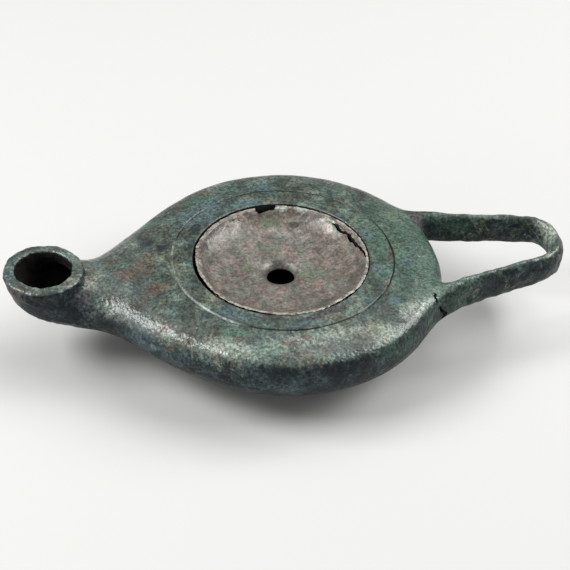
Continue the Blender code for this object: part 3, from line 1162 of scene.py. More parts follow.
    def wear(self, target: bpy.types.Object) -> None:
        """Give the smooth casting its groove, dents, pits and corrosion, and store what its patina reads.

        Args:
            target: The body's object.
        """
        relief = Relief(target)
        zones = self.zones
        x, up = relief.points[:, 0], relief.normals[:, 2]
        outside = relief.attribute("outside")
        deck = zones.level.of(up) * zones.deck.of(relief.depth) * outside * zones.behind_spout.of(x)
        past_seat = zones.past_seat.of(relief.radius)
        groove = self.ring.cut(relief, deck * past_seat)
        off_foot = 1.0 - zones.foot.of(relief.points[:, 2])
        free = outside * np.maximum(past_seat, zones.sides.of(relief.depth)) * off_foot
        self.corrode(relief, free * (1.0 - groove), 1.0 - outside)

        handle = zones.handle.of(x)
        bore = zones.bore.of(np.hypot(x - self.spout.nozzle_x, relief.points[:, 1]))
        seat_wall = zones.seat_wall.of(relief.radius) * zones.seat_depth.of(relief.depth)
        flat = deck * zones.flat.of(relief.radius)
        coarse = 1.0 - self.deck_polish * flat + self.handle_coarseness * handle
        # The wick hole counts as inside, so it takes the inside's painted near-black shade.
        relief.store("outside", outside * (1.0 - bore))
        relief.store("coarse", np.clip(coarse, 0.0, 1.0))
        # The seat's wall is darkened with the groove, as painted shade.
        relief.store("groove", np.maximum(groove, seat_wall))
        # Facing up, leaned towards the left lamp as painted light; it sets the sides' painted shade and the
        # wax.
        relief.store("upward", zones.upward.of(up - self.handle_shade * relief.normals[:, 0]))
        relief.store("handle", handle)
        relief.store_stains(BODY_STAINS_AND_PAINTED_LIGHT)
        relief.finish()


# Where minerals gather on the disc.
DISC_STAINS: dict[str, tuple[Blot, ...]] = {
    "verdigris": (
        Blot((0.0, 20.0, 3.5), (6.0, 3.0, 3.0)),
        Blot((-9.0, 3.0, 5.2), (4.0, 4.0, 2.0), 0.7),
        Blot((9.0, -2.0, 5.2), (7.0, 5.0, 2.0), 0.7),
        Blot((8.0, 23.5, 0.6), (9.0, 1.2, 1.5), 1.0, -18.0),
        Blot((-12.0, 20.0, 1.5), (6.0, 2.0, 2.0), 0.6, 30.0),
        Blot((-22.3, 2.0, 1.8), (1.6, 2.2, 1.6)),
        Blot((-1.0, 10.0, 5.2), (6.0, 4.0, 2.0), 0.6),
    ),
    "umber": (
        Blot((7.2, 18.9, 4.1), (3.6, 1.8, 2.0)),
        Blot((-20.0, 9.7, 1.8), (1.6, 2.2, 1.5)),
        Blot((11.0, 8.0, 5.1), (5.0, 3.0, 2.0), 0.5),
        Blot((18.8, 2.3, 5.0), (2.5, 2.5, 2.0), 0.6),
        Blot((-15.6, 16.2, 1.4), (5.5, 1.1, 2.0), 1.0, 46.0),
    ),
    "crust": (
        Blot((9.6, 21.6, 1.2), (4.8, 1.7, 2.4), 0.9, -24.0),
        Blot((3.6, 23.0, 1.0), (3.8, 1.4, 2.2), 0.9, -8.0),
        Blot((-22.9, 1.6, 1.0), (1.0, 2.8, 1.8)),
        Blot((17.6, 14.8, 1.6), (3.6, 1.0, 1.8), 0.8, -52.0),
    ),
}


@dataclass(frozen=True)
class RimCut:
    """A cut through the disc near its rim, by stops of radius, angle in degrees and width."""

    name: str
    stops: tuple[Place, ...]
    jag: float
    step: float
    seed: float
    depth: float = 0.5

    def cut(self) -> Cut:
        """Set an upright blade through the disc, along the stops.

        Returns:
            The cut.
        """
        places = [polar(radius, math.radians(angle), 0.0) / MM for radius, angle, _ in self.stops]
        path = tuple((place.x, place.y, self.depth) for place in places)
        widths = tuple(width for _, _, width in self.stops)
        return Cut(
            self.name, path, widths, (0.0, 0.0, -1.0), reach_out=3.0, reach_in=8.0, taper=1.0, jag=self.jag,
            step=self.step, seed=self.seed,
        )


@dataclass(frozen=True)
class Discus:
    """The thin dished disc that rests in the body's opening, with its filling hole and its broken edge."""

    name: str = "dished_discus"
    segments: int = 96
    top_radius: float = 24.4
    bottom_radius: float = 23.85
    set_back: float = 0.35
    thickness: float = 1.2
    dish_radius: float = 23.3
    dish_depth: float = 5.1
    dish_power: float = 7.0
    hole_radius: float = 3.85
    hole_edge: float = 0.5
    # The edge's rounded corners: how far each ring is inside the radius, and below the top or above the
    # bottom.
    top_corner: tuple[Pair, ...] = ((0.5, 0.0), (0.1, 0.02), (0.0, 0.15))
    bottom_corner: tuple[Pair, ...] = ((0.0, 0.1), (0.2, 0.0))
    # How far the worn edge stands out, by angle in degrees: it leaves a gap where the number is low.
    edge_stops: tuple[Pair, ...] = (
        (-180.0, -0.5), (-163.0, -0.6), (-140.0, -0.45), (-112.0, -0.4), (-94.0, -0.1), (-72.0, 0.1),
        (-64.0, -0.35), (-48.0, -0.3), (-38.0, 0.15), (0.0, 0.12), (45.0, 0.12), (90.0, -0.04),
        (135.0, 0.05), (160.0, -0.05), (172.0, -0.4), (180.0, -0.5),
    )
    funnel: tuple[Ring, ...] = (
        Ring(3.85, 7.3), Ring(4.1, 6.7), Ring(4.5, 6.1), Ring(5.0, 5.6), Ring(5.6, 5.3), Ring(6.3, 5.17),
    )
    radii: tuple[float, ...] = (
        7.6, 9.4, 11.5, 13.5, 15.2, 16.6, 17.8, 18.9, 19.9, 20.8, 21.5, 22.1, 22.6, 23.0, 23.3,
    )
    # The open crack along the rim towards the handle's far arm, and the broken notch on the far side.
    cuts: tuple[RimCut, ...] = (
        RimCut(
            "rim_slit",
            (
                (22.75, 40.5, 0.25), (22.55, 34.5, 0.7), (22.5, 29.0, 0.45), (22.5, 23.0, 0.7),
                (22.55, 16.0, 0.75), (22.7, 8.5, 0.65), (23.3, 1.0, 0.45), (23.9, -6.0, 0.2),
            ),
            jag=0.22,
            step=0.55,
            seed=5.0,
        ),
        RimCut(
            "edge_notch",
            (
                (24.1, 99.0, 1.6), (23.95, 97.0, 2.3), (23.9, 93.5, 2.4), (23.95, 90.0, 2.1),
                (24.1, 86.5, 1.7), (24.3, 85.0, 0.7),
            ),
            jag=0.1,
            step=1.4,
            seed=9.0,
        ),
    )
    # Zones by how far the surface faces up, and by radius: the band inside the rim, its ends, the rim's
    # painted highlight, and the edge.
    face: Fade = Fade(0.0, 0.3)
    band_start: Fade = Fade(22.9, 23.3)
    band_end: Fade = Fade(24.3, 24.0)
    rim: Fade = Fade(23.4, 23.9)
    edge: Fade = Fade(20.5, 23.9)
    # Turning marks of 0.2 mm are too fine to show, so they are drawn 0.5 mm apart.
    turning_pitch: float = 0.5
    turning_height: float = 0.03
    waves: tuple[Waves, ...] = (Waves(9.0, 41.0, 0.16), Waves(2.6, 43.0, 0.035))
    ragged: Waves = Waves(1.5, 53.0, 0.26)

    def depth_at(self, radius: float) -> float:
        """Find the depth of the dished face.

        Args:
            radius: The distance from the disc's axis.

        Returns:
            The depth there.
        """
        if radius >= self.dish_radius:
            return self.set_back
        rise = (radius / self.dish_radius) ** self.dish_power
        return self.set_back + (self.dish_depth - self.set_back) * (1.0 - rise)

    def outline(self) -> list[Ring]:
        """Lay the disc's outline.

        Returns:
            Its rings, from the hole over the face, round the edge and back underneath.
        """
        face = [*self.funnel, *(Ring(r, self.depth_at(r)) for r in self.radii)]
        back = inset_outline(face, self.thickness)[1:-1:2]
        bottom = self.set_back + self.thickness
        edge = [Ring(self.top_radius - inside, self.set_back + drop) for inside, drop in self.top_corner]
        edge += [Ring(self.bottom_radius - inside, bottom - rise) for inside, rise in self.bottom_corner]
        hole_foot = Ring(self.hole_radius, face[0].depth + self.hole_edge)
        return [*face, *edge, *reversed(back), hole_foot]

    def make(self) -> Workpiece:
        """Model the disc as one closed turned outline, and wear and break it.

        Returns:
            The finished piece.
        """
        step = math.tau / self.segments
        rows = [[polar(r.radius, i * step, r.depth) for i in range(self.segments)] for r in self.outline()]
        piece = Workpiece(self.name, rows[0])
        piece.extrude(rows)
        piece.bridge(rows[-1], rows[0])
        piece.face_outward()
        piece.smooth()
        self.wear(piece.object)
        for rim_cut in self.cuts:
            rim_cut.cut().take_from(piece)
        return piece

    def wear(self, target: bpy.types.Object) -> None:
        """Give the disc its turned lines, soft dents and worn edge, and store what its patina reads.

        Args:
            target: The disc's object.
        """
        relief = Relief(target)
        face = self.face.of(relief.normals[:, 2])
        band = self.band_start.of(relief.radius) * self.band_end.of(relief.radius)
        for waves in self.waves:
            relief.ripple(waves, waves.height, face * (1.0 - band))
        lines = np.sin(relief.radius * math.tau / self.turning_pitch) * self.turning_height
        relief.push += lines * band * face
        relief.store("face", face)
        # Where the rim's painted highlight lies.
        relief.store("rim", self.rim.of(relief.radius) * face)
        relief.store_stains(DISC_STAINS)
        angles, fits = zip(*self.edge_stops)
        fit = np.interp(relief.angle, angles, fits)
        ragged = relief.field(self.ragged.size, self.ragged.seed, 2) * self.ragged.height
        relief.spread(self.edge.of(relief.radius) * (fit + ragged))
        relief.finish()


class Blend(Enum):
    """How one colour is laid on another."""

    COVER = "MIX"
    TINT = "MULTIPLY"


def linear(colour: str) -> tuple[float, float, float, float]:
    """Turn an sRGB hex colour into the linear RGBA that shaders take.

    Args:
        colour: The colour, such as "#3a5245".

    Returns:
        Its linear channels and an alpha of 1.
    """
    channels = [int(colour[i:i + 2], 16) / 255.0 for i in (1, 3, 5)]
    values = [c / 12.92 if c <= 0.04045 else ((c + 0.055) / 1.055) ** 2.4 for c in channels]
    return (*values, 1.0)


@dataclass(frozen=True)
class Grain:
    """A fractal noise: its lumps' size in millimetres, its finer octaves, its seed and its roughness."""

    size: float
    detail: float
    seed: float
    roughness: float

    def inputs(self, place: Socket) -> dict[str, object]:
        """Return the inputs of a TexNoise node that draws the grain, by a place in millimetres."""
        look = {"Scale": 1.0 / self.size, "Detail": self.detail, "Roughness": self.roughness}
        return {"Vector": place, "W": self.seed, **look}


@dataclass(frozen=True)
class Spots:
    """Broken spots: a grain, and the fade that turns it into a share."""

    grain: Grain
    fade: Fade


@dataclass(frozen=True)
class Tones:
    """Mottled colours: a grain, and the sRGB hex colours at three of its values."""

    grain: Grain
    stops: tuple[tuple[float, str], ...]


@dataclass(frozen=True)
class Layer:
    """A layer over a metal's colour, in broken patches that gather at the mesh's stains; some are painted
    shade and sheen.
    """

    stain: str
    colour: str
    size: float
    seed: float
    cover: Fade
    detail: float = 8.0
    roughness: float = 0.68
    gather: float = 0.5


@dataclass(frozen=True)
class Bumps:
    """The fine relief of a corroded skin: lumps with finer grains on them, and the height of each."""

    lumps: Grain
    lump_height: float
    grains: Grain
    grain_height: float


class PatinaBuilder:
    """Builds the node network that old bronze finishes share."""

    # The Mix node's sockets for colours, by number, because its other sockets have the same names.
    BELOW, ABOVE, MIXED = 6, 7, 2

    def __init__(self, name: str) -> None:
        """Start the material and its position in the piece, in millimetres.

        Args:
            name: The material's name.
        """
        self.material = bpy.data.materials.new(name)
        self.material.use_nodes = True
        self.tree = self.material.node_tree
        self.shader = self.tree.nodes["Principled BSDF"]
        inputs = {0: self.add("TexCoord", output="Object"), "Scale": 1.0 / MM}
        self.place = self.add("VectorMath", inputs, operation="SCALE")

    def add(self, kind: str, inputs: dict[str | int, object] | None = None, output: str | int = 0,
            stops: Sequence[tuple[float, str]] = (), **settings: object) -> Socket:
        """Add a shader node with its settings and links.

        Args:
            kind: The node's type, without its "ShaderNode" prefix.
            inputs: A socket to link, or a value to set, for each input by name or number.
            output: The output that is wanted, by name or number.
            stops: A colour ramp's positions and sRGB hex colours.
            settings: The node's own properties.

        Returns:
            The node's output.
        """
        made = self.tree.nodes.new("ShaderNode" + kind)
        for name, value in settings.items():
            setattr(made, name, value)
        for key, value in (inputs or {}).items():
            if isinstance(value, Socket):
                self.tree.links.new(value, made.inputs[key])
            else:
                made.inputs[key].default_value = value
        if stops:
            elements = made.color_ramp.elements
            while len(elements) < len(stops):
                elements.new(0.5)
            for element, (position, colour) in zip(elements, stops):
                element.position = position
                element.color = linear(colour)
        return made.outputs[output]

    def zone(self, name: str, fade: Fade) -> Socket:
        """Return how far the surface is in a zone: one of the mesh's marks, through a fade."""
        mark = self.add("Attribute", output="Fac", attribute_name=name)
        return self.add("MapRange", fade.inputs(mark), interpolation_type="SMOOTHSTEP")

    def spots(self, spots: Spots) -> Socket:
        """Scatter broken spots and return their share."""
        grain = self.add("TexNoise", spots.grain.inputs(self.place), noise_dimensions="4D")
        return self.add("MapRange", spots.fade.inputs(grain), interpolation_type="SMOOTHSTEP")

    def tones(self, tones: Tones) -> Socket:
        """Mottle the surface and return its colour."""
        grain = self.add("TexNoise", tones.grain.inputs(self.place), noise_dimensions="4D")
        return self.add("ValToRGB", {0: grain}, stops=tones.stops)

    def overlap(self, *shares: Socket | float) -> Socket | float:
        """Find where several zones and patches meet.

        Args:
            shares: The share of each.

        Returns:
            Their product.
        """
        product = shares[0]
        for share in shares[1:]:
            product = self.add("Math", {0: product, 1: share}, operation="MULTIPLY")
        return product

    def lay(self, below: Socket, above: Socket | str, *shares: Socket | float,
            blend: Blend = Blend.COVER) -> Socket:
        """Lay one colour on another.

        Args:
            below: The colour that it is laid on.
            above: The colour that is laid, as a socket or in sRGB hex.
            shares: The zones and patches that it is laid in, where they meet.
            blend: How it is laid.

        Returns:
            The mixed colour.
        """
        above = linear(above) if isinstance(above, str) else above
        inputs = {"Factor": self.overlap(*shares), self.BELOW: below, self.ABOVE: above}
        settings = {"data_type": "RGBA", "blend_type": blend.value, "clamp_factor": True}
        return self.add("Mix", inputs, self.MIXED, **settings)

    def minerals(self, colour: Socket, layers: Sequence[Layer]) -> Socket:
        """Lay mineral layers over a colour, where their patches and stains are.

        Args:
            colour: The colour.
            layers: The layers, from the lowest up.

        Returns:
            The covered colour.
        """
        for layer in layers:
            grain = Grain(layer.size, layer.detail, layer.seed, layer.roughness)
            patches = self.add("TexNoise", grain.inputs(self.place), noise_dimensions="4D")
            stain = self.add("Attribute", output="Fac", attribute_name=layer.stain)
            gathered = self.add("Math", {0: stain, 1: layer.gather, 2: patches}, operation="MULTIPLY_ADD")
            cover = self.add("MapRange", layer.cover.inputs(gathered), interpolation_type="SMOOTHSTEP")
            colour = self.lay(colour, layer.colour, cover)
        return colour

    def bump(self, bumps: Bumps, strength: Socket | float) -> Socket:
        """Add the fine relief.

        Args:
            bumps: The relief's lumps and grains.
            strength: How much of it there is, from 0 to 1.

        Returns:
            The bumped normal.
        """
        normal = None
        for grain, height in ((bumps.grains, bumps.grain_height), (bumps.lumps, bumps.lump_height)):
            rise = self.add("TexNoise", grain.inputs(self.place), noise_dimensions="4D")
            inputs = {"Height": rise, "Distance": height * MM, "Strength": strength}
            if normal:
                inputs["Normal"] = normal
            normal = self.add("Bump", inputs)
        return normal

    def set(self, **inputs: object) -> None:
        """Set or link the shader's inputs.

        Args:
            inputs: Their values or sockets, with underscores for the spaces in their names.
        """
        for key, value in inputs.items():
            socket = self.shader.inputs[key.replace("_", " ")]
            if isinstance(value, Socket):
                self.tree.links.new(value, socket)
            else:
                socket.default_value = value


@dataclass(frozen=True)
class GreenPatina:
    """Cast leaded bronze under a green mineral patina.

    Centuries in the soil give it a matt, finely granular skin, mottled from grey-green to blue-green, with
    olive and brown where the crust is thin. Its sides are painted nearly black-green as painted shade, so
    it looks lighter on top, and a faint grey veil lies in clouds over that painted shade. A thin wax on the
    worn shoulders gives them a broken, silvery shine.
    """

    name: str = "cast_bronze_green_mineral_patina"
    tones: Tones = Tones(
        Grain(7.0, 12.0, 1.0, 0.72),
        ((0.36, "#1d2523"), (0.5, "#3d4540"), (0.66, "#667068")),
    )
    tints: Tones = Tones(
        Grain(6.0, 6.0, 51.0, 0.65),
        ((0.38, "#cdeef2"), (0.5, "#f6fbf3"), (0.62, "#fff0d8")),
    )
    layers: tuple[Layer, ...] = (
        Layer("sea_green", "#3a5245", 5.0, 5.0, Fade(0.56, 0.94, 0.0, 0.8)),
        Layer("blue", "#415456", 5.0, 9.0, Fade(0.56, 0.94, 0.0, 0.7)),
        Layer("pale", "#8f988b", 1.6, 17.0, Fade(0.62, 1.02, 0.0, 0.6)),
        Layer("rust", "#4c4037", 2.5, 13.0, Fade(0.58, 0.80, 0.0, 0.75)),
        Layer("soot_and_shade", "#3c383a", 2.5, 25.0, Fade(0.62, 0.84, 0.0, 0.9)),
        Layer("navy", "#141c22", 3.0, 21.0, Fade(0.62, 0.86, 0.0, 0.8)),
    )
    # The sides are painted dark as they turn down, by a ragged line: this is painted shade. The marks below
    # keep them lighter, each by its share, and the minerals hide most of it; the upward mark's lean to the
    # left and the patches that lighten the near sides are painted light.
    side: str = "#0c151a"
    side_fade: Fade = Fade(0.1, 0.75, 0.92, 0.0)
    side_flecks: Spots = Spots(Grain(1.6, 5.0, 47.0, 0.72), Fade(0.3, 0.7, -0.62, 0.62))
    side_over_minerals: float = 0.4
    side_lights: tuple[tuple[str, float], ...] = (("upward", 1.0), ("handle", 0.34), ("painted_side_light", 0.55))
    veil: str = "#47575b"
    veil_clouds: Spots = Spots(Grain(6.0, 9.0, 59.0, 0.75), Fade(0.48, 0.66, 0.0, 0.7))
    # The crust's grains are 0.3 mm, too fine to show, so they are drawn at 0.8 mm, here and in the bumps.
    speckle: Spots = Spots(Grain(0.8, 3.0, 31.0, 0.75), Fade(0.36, 0.64, 0.42, 1.78))
    # Darkens the ring's sharp stretch, and the seat's wall as painted shade.
    groove_dark: str = "#0f1312"
    groove_dark_fade: Fade = Fade(0.15, 0.55, 0.0, 0.94)
    # A painted highlight along the ring's worn stretch, in broken spots.
    worn_highlight: str = "#98a29a"
    worn_highlight_fade: Fade = Fade(0.1, 0.6)
    worn_highlight_spots: Spots = Spots(Grain(1.3, 3.0, 55.0, 0.6), Fade(0.38, 0.62, 0.15, 0.65))
    # The inside and the wick hole are painted near black: painted shade.
    inside: str = "#0d0a07"
    inside_fade: Fade = Fade(0.75, 0.2)
    metallic: float = 0.1
    specular: float = 0.24
    satin: Spots = Spots(Grain(2.6, 6.0, 35.0, 0.7), Fade(0.3, 0.7, 0.30, 0.56))
    inside_matt: Fade = Fade(0.75, 0.2, 0.0, 0.4)
    soot_and_shade_matt: Fade = Fade(0.1, 0.5, 0.0, 0.2)
    wax_coarse: Fade = Fade(0.25, 1.0, 0.3, 1.0)
    wax_clean: Fade = Fade(0.1, 0.5, 1.0, 0.0)
    wax_roughness: float = 0.34
    bumps: Bumps = Bumps(Grain(2.6, 2.0, 39.0, 0.55), 0.25, Grain(0.8, 1.0, 43.0, 0.5), 0.22)

    def sides(self, patina: PatinaBuilder) -> Socket:
        """Find how much painted shade darkens the sides.

        Args:
            patina: The material's builder.

        Returns:
            The share of the painted shade's dark colour, from 0 on the deck.
        """
        lit = patina.spots(self.side_flecks)
        for name, light in self.side_lights:
            mark = patina.add("Attribute", output="Fac", attribute_name=name)
            lit = patina.add("Math", {0: mark, 1: light, 2: lit}, operation="MULTIPLY_ADD")
        return patina.add("MapRange", self.side_fade.inputs(lit), interpolation_type="SMOOTHSTEP")

    def groove(self, patina: PatinaBuilder, colour: Socket) -> Socket:
        """Darken the ring's sharp stretch, paint shade on the seat's wall, and paint a highlight on the
        ring's worn stretch.

        Args:
            patina: The material's builder.
            colour: The colour so far.

        Returns:
            The colour with the groove.
        """
        groove = patina.add("Attribute", output="Fac", attribute_name="groove")
        worn = patina.add("Attribute", output="Fac", attribute_name="worn_groove")
        sharp = patina.add("Math", {0: groove, 1: worn}, operation="SUBTRACT")
        darkened = patina.add("MapRange", self.groove_dark_fade.inputs(sharp), interpolation_type="SMOOTHSTEP")
        colour = patina.lay(colour, self.groove_dark, darkened)
        # A painted highlight along the ring's worn stretch.
        highlighted = patina.zone("worn_groove", self.worn_highlight_fade)
        return patina.lay(colour, self.worn_highlight, highlighted, patina.spots(self.worn_highlight_spots))

    def colour(self, patina: PatinaBuilder) -> Socket:
        """Lay the colours: metal, painted shade on the sides, minerals, veil, grain, groove and the
        inside's painted near-black shade.

        Args:
            patina: The material's builder.

        Returns:
            The finished colour.
        """
        sides = self.sides(patina)
        colour = patina.lay(patina.tones(self.tones), patina.tones(self.tints), 1.0, blend=Blend.TINT)
        # The sides' dark colour is painted shade, laid under the minerals and again over them.
        colour = patina.lay(colour, self.side, sides)
        colour = patina.minerals(colour, self.layers)
        colour = patina.lay(colour, self.side, sides, self.side_over_minerals)
        colour = patina.lay(colour, self.veil, sides, patina.spots(self.veil_clouds))
        colour = patina.lay(colour, patina.spots(self.speckle), 1.0, blend=Blend.TINT)
        colour = self.groove(patina, colour)
        # The inside and the wick hole take the painted near-black shade.
        return patina.lay(colour, self.inside, patina.zone("outside", self.inside_fade))

    def roughness(self, patina: PatinaBuilder) -> Socket:
        """Find the roughness, satin outside and matt where the soot and the painted shade are.

        Args:
            patina: The material's builder.

        Returns:
            The roughness, from 0 to 1.
        """
        rough = patina.spots(self.satin)
        for name, fade in (("outside", self.inside_matt), ("soot_and_shade", self.soot_and_shade_matt)):
            rough = patina.add("Math", {0: rough, 1: patina.zone(name, fade)}, operation="ADD")
        return rough

    def wax(self, patina: PatinaBuilder) -> Socket:
        """Lay the wax, most on the worn shoulders, less on the deck and none over the soot and the
        painted shade.

        Args:
            patina: The material's builder.

        Returns:
            The weight of the coat.
        """
        upward = patina.add("Attribute", output="Fac", attribute_name="upward")
        outside = patina.add("Attribute", output="Fac", attribute_name="outside")
        coarse = patina.zone("coarse", self.wax_coarse)
        return patina.overlap(upward, outside, coarse, patina.zone("soot_and_shade", self.wax_clean))

    def build(self) -> bpy.types.Material:
        """Build the material.

        Returns:
            The material.
        """
        patina = PatinaBuilder(self.name)
        coarse = patina.add("Attribute", output="Fac", attribute_name="coarse")
        normal = patina.bump(self.bumps, coarse)
        patina.set(Base_Color=self.colour(patina), Metallic=self.metallic, Normal=normal)
        patina.set(Roughness=self.roughness(patina), Specular_IOR_Level=self.specular)
        patina.set(Coat_Weight=self.wax(patina), Coat_Roughness=self.wax_roughness, Coat_Normal=normal)
        return patina.material


@dataclass(frozen=True)
class BrownPatina:
    """Turned sheet bronze under a thin brown patina.

    It was smoother metal than the casting, so it keeps a satin sheen and fine turning marks under a warm
    grey brown, with faint green mottling, dark brown spots, a pale green crust at its far edge and a pale
    line round the rim that is a painted highlight.
    """

    name: str = "turned_bronze_brown_patina"
    tones: Tones = Tones(
        Grain(3.2, 10.0, 1.0, 0.72),
        ((0.34, "#3e3b38"), (0.5, "#635e58"), (0.68, "#86807a")),
    )
    tints: Tones = Tones(
        Grain(4.0, 6.0, 51.0, 0.65),
        ((0.38, "#dcf2e6"), (0.5, "#f8f6f3"), (0.62, "#ffeee6")),
    )
    layers: tuple[Layer, ...] = (
        Layer("verdigris", "#55604f", 4.0, 5.0, Fade(0.60, 0.78, 0.0, 0.7)),
        Layer("umber", "#332b2c", 3.0, 9.0, Fade(0.62, 0.76, 0.0, 0.8)),
        Layer("crust", "#8c9b90", 0.9, 27.0, Fade(0.62, 0.9, 0.0, 0.85)),
    )
    # As on the body, the finest grains are drawn coarser than they are, at 0.8 mm.
    speckle: Spots = Spots(Grain(0.8, 3.0, 21.0, 0.75), Fade(0.36, 0.64, 0.62, 1.45))
    # The pale line round the rim is a painted highlight of the disc's edge.
    rim: str = "#a9a398"
    rim_spots: Spots = Spots(Grain(1.2, 3.0, 57.0, 0.6), Fade(0.42, 0.56, 0.0, 0.8))
    underside: str = "#1c1814"
    underside_fade: Fade = Fade(0.8, 0.2)
    metallic: float = 0.25
    satin: Spots = Spots(Grain(2.2, 5.0, 25.0, 0.7), Fade(0.3, 0.7, 0.34, 0.54))
    wax: float = 0.3
    wax_roughness: float = 0.38
    bumps: Bumps = Bumps(Grain(2.4, 2.0, 39.0, 0.6), 0.12, Grain(0.8, 1.0, 43.0, 0.5), 0.09)

    def colour(self, patina: PatinaBuilder) -> Socket:
        """Lay the colours: metal, minerals, grain, the rim's painted highlight and the dark edge and
        underside.

        Args:
            patina: The material's builder.

        Returns:
            The finished colour.
        """
        colour = patina.lay(patina.tones(self.tones), patina.tones(self.tints), 1.0, blend=Blend.TINT)
        colour = patina.minerals(colour, self.layers)
        colour = patina.lay(colour, patina.spots(self.speckle), 1.0, blend=Blend.TINT)
        # A painted highlight along the rim.
        rim = patina.add("Attribute", output="Fac", attribute_name="rim")
        colour = patina.lay(colour, self.rim, patina.spots(self.rim_spots), rim)
        return patina.lay(colour, self.underside, patina.zone("face", self.underside_fade))

    def build(self) -> bpy.types.Material:
        """Build the material.

        Returns:
            The material.
        """
        patina = PatinaBuilder(self.name)
        normal = patina.bump(self.bumps, 1.0)
        patina.set(Base_Color=self.colour(patina), Metallic=self.metallic, Normal=normal)
        patina.set(Roughness=patina.spots(self.satin))
        patina.set(Coat_Weight=self.wax, Coat_Roughness=self.wax_roughness, Coat_Normal=normal)
        return patina.material


@dataclass(frozen=True)
class WhitePaper:
    """Matt white paper: its loose fibres scatter the light evenly, so it looks pale and has no shine."""

    name: str = "matt_white_paper"
    colour: str = "#bfbfbd"
    roughness: float = 0.9
    specular: float = 0.2

    def build(self) -> bpy.types.Material:
        """Build the material.

        Returns:
            The material.
        """
        paper = PatinaBuilder(self.name)
        paper.set(Base_Color=linear(self.colour), Roughness=self.roughness)
        paper.set(Specular_IOR_Level=self.specular)
        return paper.material


def dress(piece: Workpiece, material: bpy.types.Material, node: str) -> None:
    """Give a piece its material, its body and the node that it stands for, and shade it.

    Args:
        piece: The piece, in object mode.
        material: Its material.
        node: The name of the node.
    """
    target = piece.object
    target.data.materials.clear()
    target.data.materials.append(material)
    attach(target, BODY)
    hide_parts(node)
    piece.activate()
    bpy.ops.object.shade_smooth_by_angle(angle=SHARP_ANGLE)
    LOG.info("%s: %d vertices, %d faces", target.name, len(target.data.vertices), len(target.data.polygons))


@dataclass(frozen=True)
class Softbox:
    """A soft rectangular studio light that points at the lamp.

    Its elevation and azimuth are in degrees, with azimuth 0 at the handle and 90 behind. Its distance and
    size are in metres, and its brightness is its radiance, so that a larger one also gives more light.
    """

    name: str
    elevation: float
    azimuth: float
    distance: float
    size: Pair
    brightness: float
    aim: Place = (0.0, 0.0, 0.015)

    def place_light(self) -> None:
        """Add the light to the scene."""
        light = bpy.data.lights.new(self.name, "AREA")
        light.shape = "RECTANGLE"
        light.size, light.size_y = self.size
        light.energy = self.brightness * math.pi * light.size * light.size_y
        made = bpy.data.objects.new(self.name, light)
        bpy.context.scene.collection.objects.link(made)
        rise, turn = math.radians(self.elevation), math.radians(self.azimuth)
        back = Vector((math.cos(turn) * math.cos(rise), math.sin(turn) * math.cos(rise), math.sin(rise)))
        made.location = Vector(self.aim) + back * self.distance
        made.rotation_euler = (-back).to_track_quat("-Z", "Y").to_euler()


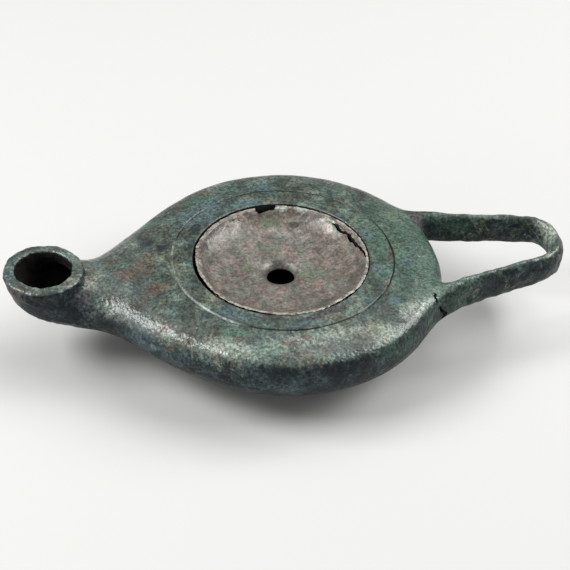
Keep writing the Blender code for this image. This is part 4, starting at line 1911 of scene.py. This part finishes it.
@dataclass(frozen=True)
class Studio:
    """A pale floor, soft lights and the camera. Lengths here are in metres, and the lens in millimetres."""

    elevation: float = math.radians(38.68)
    azimuth: float = math.radians(-10.36)
    roll: float = math.radians(1.87)
    distance: float = 0.5386
    aim_offset: Pair = (0.00105, -0.00771)
    lens: float = 121.87
    sensor: float = 36.0
    nearest: float = 0.01
    floor: WhitePaper = WhitePaper()
    floor_size: float = 8.0
    ambient: float = 0.285
    softboxes: tuple[Softbox, ...] = (
        Softbox("back_softbox", 64.0, 66.0, 0.85, (0.46, 0.40), 3.0),
        Softbox("left_softbox", 46.0, 178.0, 0.80, (0.46, 0.27), 16.5),
        Softbox("right_softbox", 40.0, 2.0, 0.80, (0.56, 0.40), 9.0),
        Softbox("low_left_softbox", 13.0, 205.0, 0.90, (0.40, 0.20), 6.5),
    )

    def place_camera(self) -> None:
        """Place the camera, turned by its roll, and aim it just below the lamp's middle."""
        e, a, roll = self.elevation, self.azimuth, self.roll
        back = Vector((math.sin(a) * math.cos(e), -math.cos(a) * math.cos(e), math.sin(e)))
        right = Vector((math.cos(a), math.sin(a), 0.0))
        up = back.cross(right)
        side = right * math.cos(roll) + up * math.sin(roll)
        top = up * math.cos(roll) - right * math.sin(roll)
        location = at(0.0, 0.0, 0.0) + back * self.distance
        aim = at(0.0, 0.0, 0.0) + side * self.aim_offset[0] + top * self.aim_offset[1]
        axis = (location - aim).normalized()
        side = (side - axis * side.dot(axis)).normalized()
        top = axis.cross(side)
        camera = bpy.data.objects.new("camera", bpy.data.cameras.new("camera"))
        bpy.context.scene.collection.objects.link(camera)
        turned = Matrix((side, top, axis)).transposed().to_4x4()
        turned.translation = location
        camera.matrix_world = turned
        camera.data.lens = self.lens
        camera.data.sensor_width = self.sensor
        camera.data.clip_start = self.nearest
        bpy.context.scene.camera = camera

    def lay_floor(self) -> None:
        """Lay the wide pale floor under the foot."""
        bpy.ops.object.select_all(action="DESELECT")
        bpy.ops.mesh.primitive_plane_add(size=self.floor_size)
        floor = bpy.context.object
        floor.name = "floor"
        floor.data.materials.append(self.floor.build())

    def light_world(self) -> None:
        """Set the even white light from all round, and the plain colour handling."""
        world = bpy.data.worlds.new("studio_fill")
        world.use_nodes = True
        background = world.node_tree.nodes["Background"]
        background.inputs["Color"].default_value = (1.0, 1.0, 1.0, 1.0)
        background.inputs["Strength"].default_value = self.ambient
        bpy.context.scene.world = world
        bpy.context.scene.view_settings.view_transform = "Standard"

    def set_up(self) -> None:
        """Set up the floor, the lights and the camera."""
        self.lay_floor()
        for softbox in self.softboxes:
            softbox.place_light()
        self.light_world()
        self.place_camera()
        LOG.info("studio: %d lights", len(self.softboxes))


def main() -> None:
    """Build the lamp's pieces, dress them and set up the studio."""
    logging.basicConfig(level=logging.INFO, format="%(message)s")
    body = LampBody().make()
    disc = Discus().make()
    dress(body, GreenPatina().build(), "lamp_body")
    dress(disc, BrownPatina().build(), "discus_plate")
    Studio().set_up()


if __name__ == "__main__":
    main()
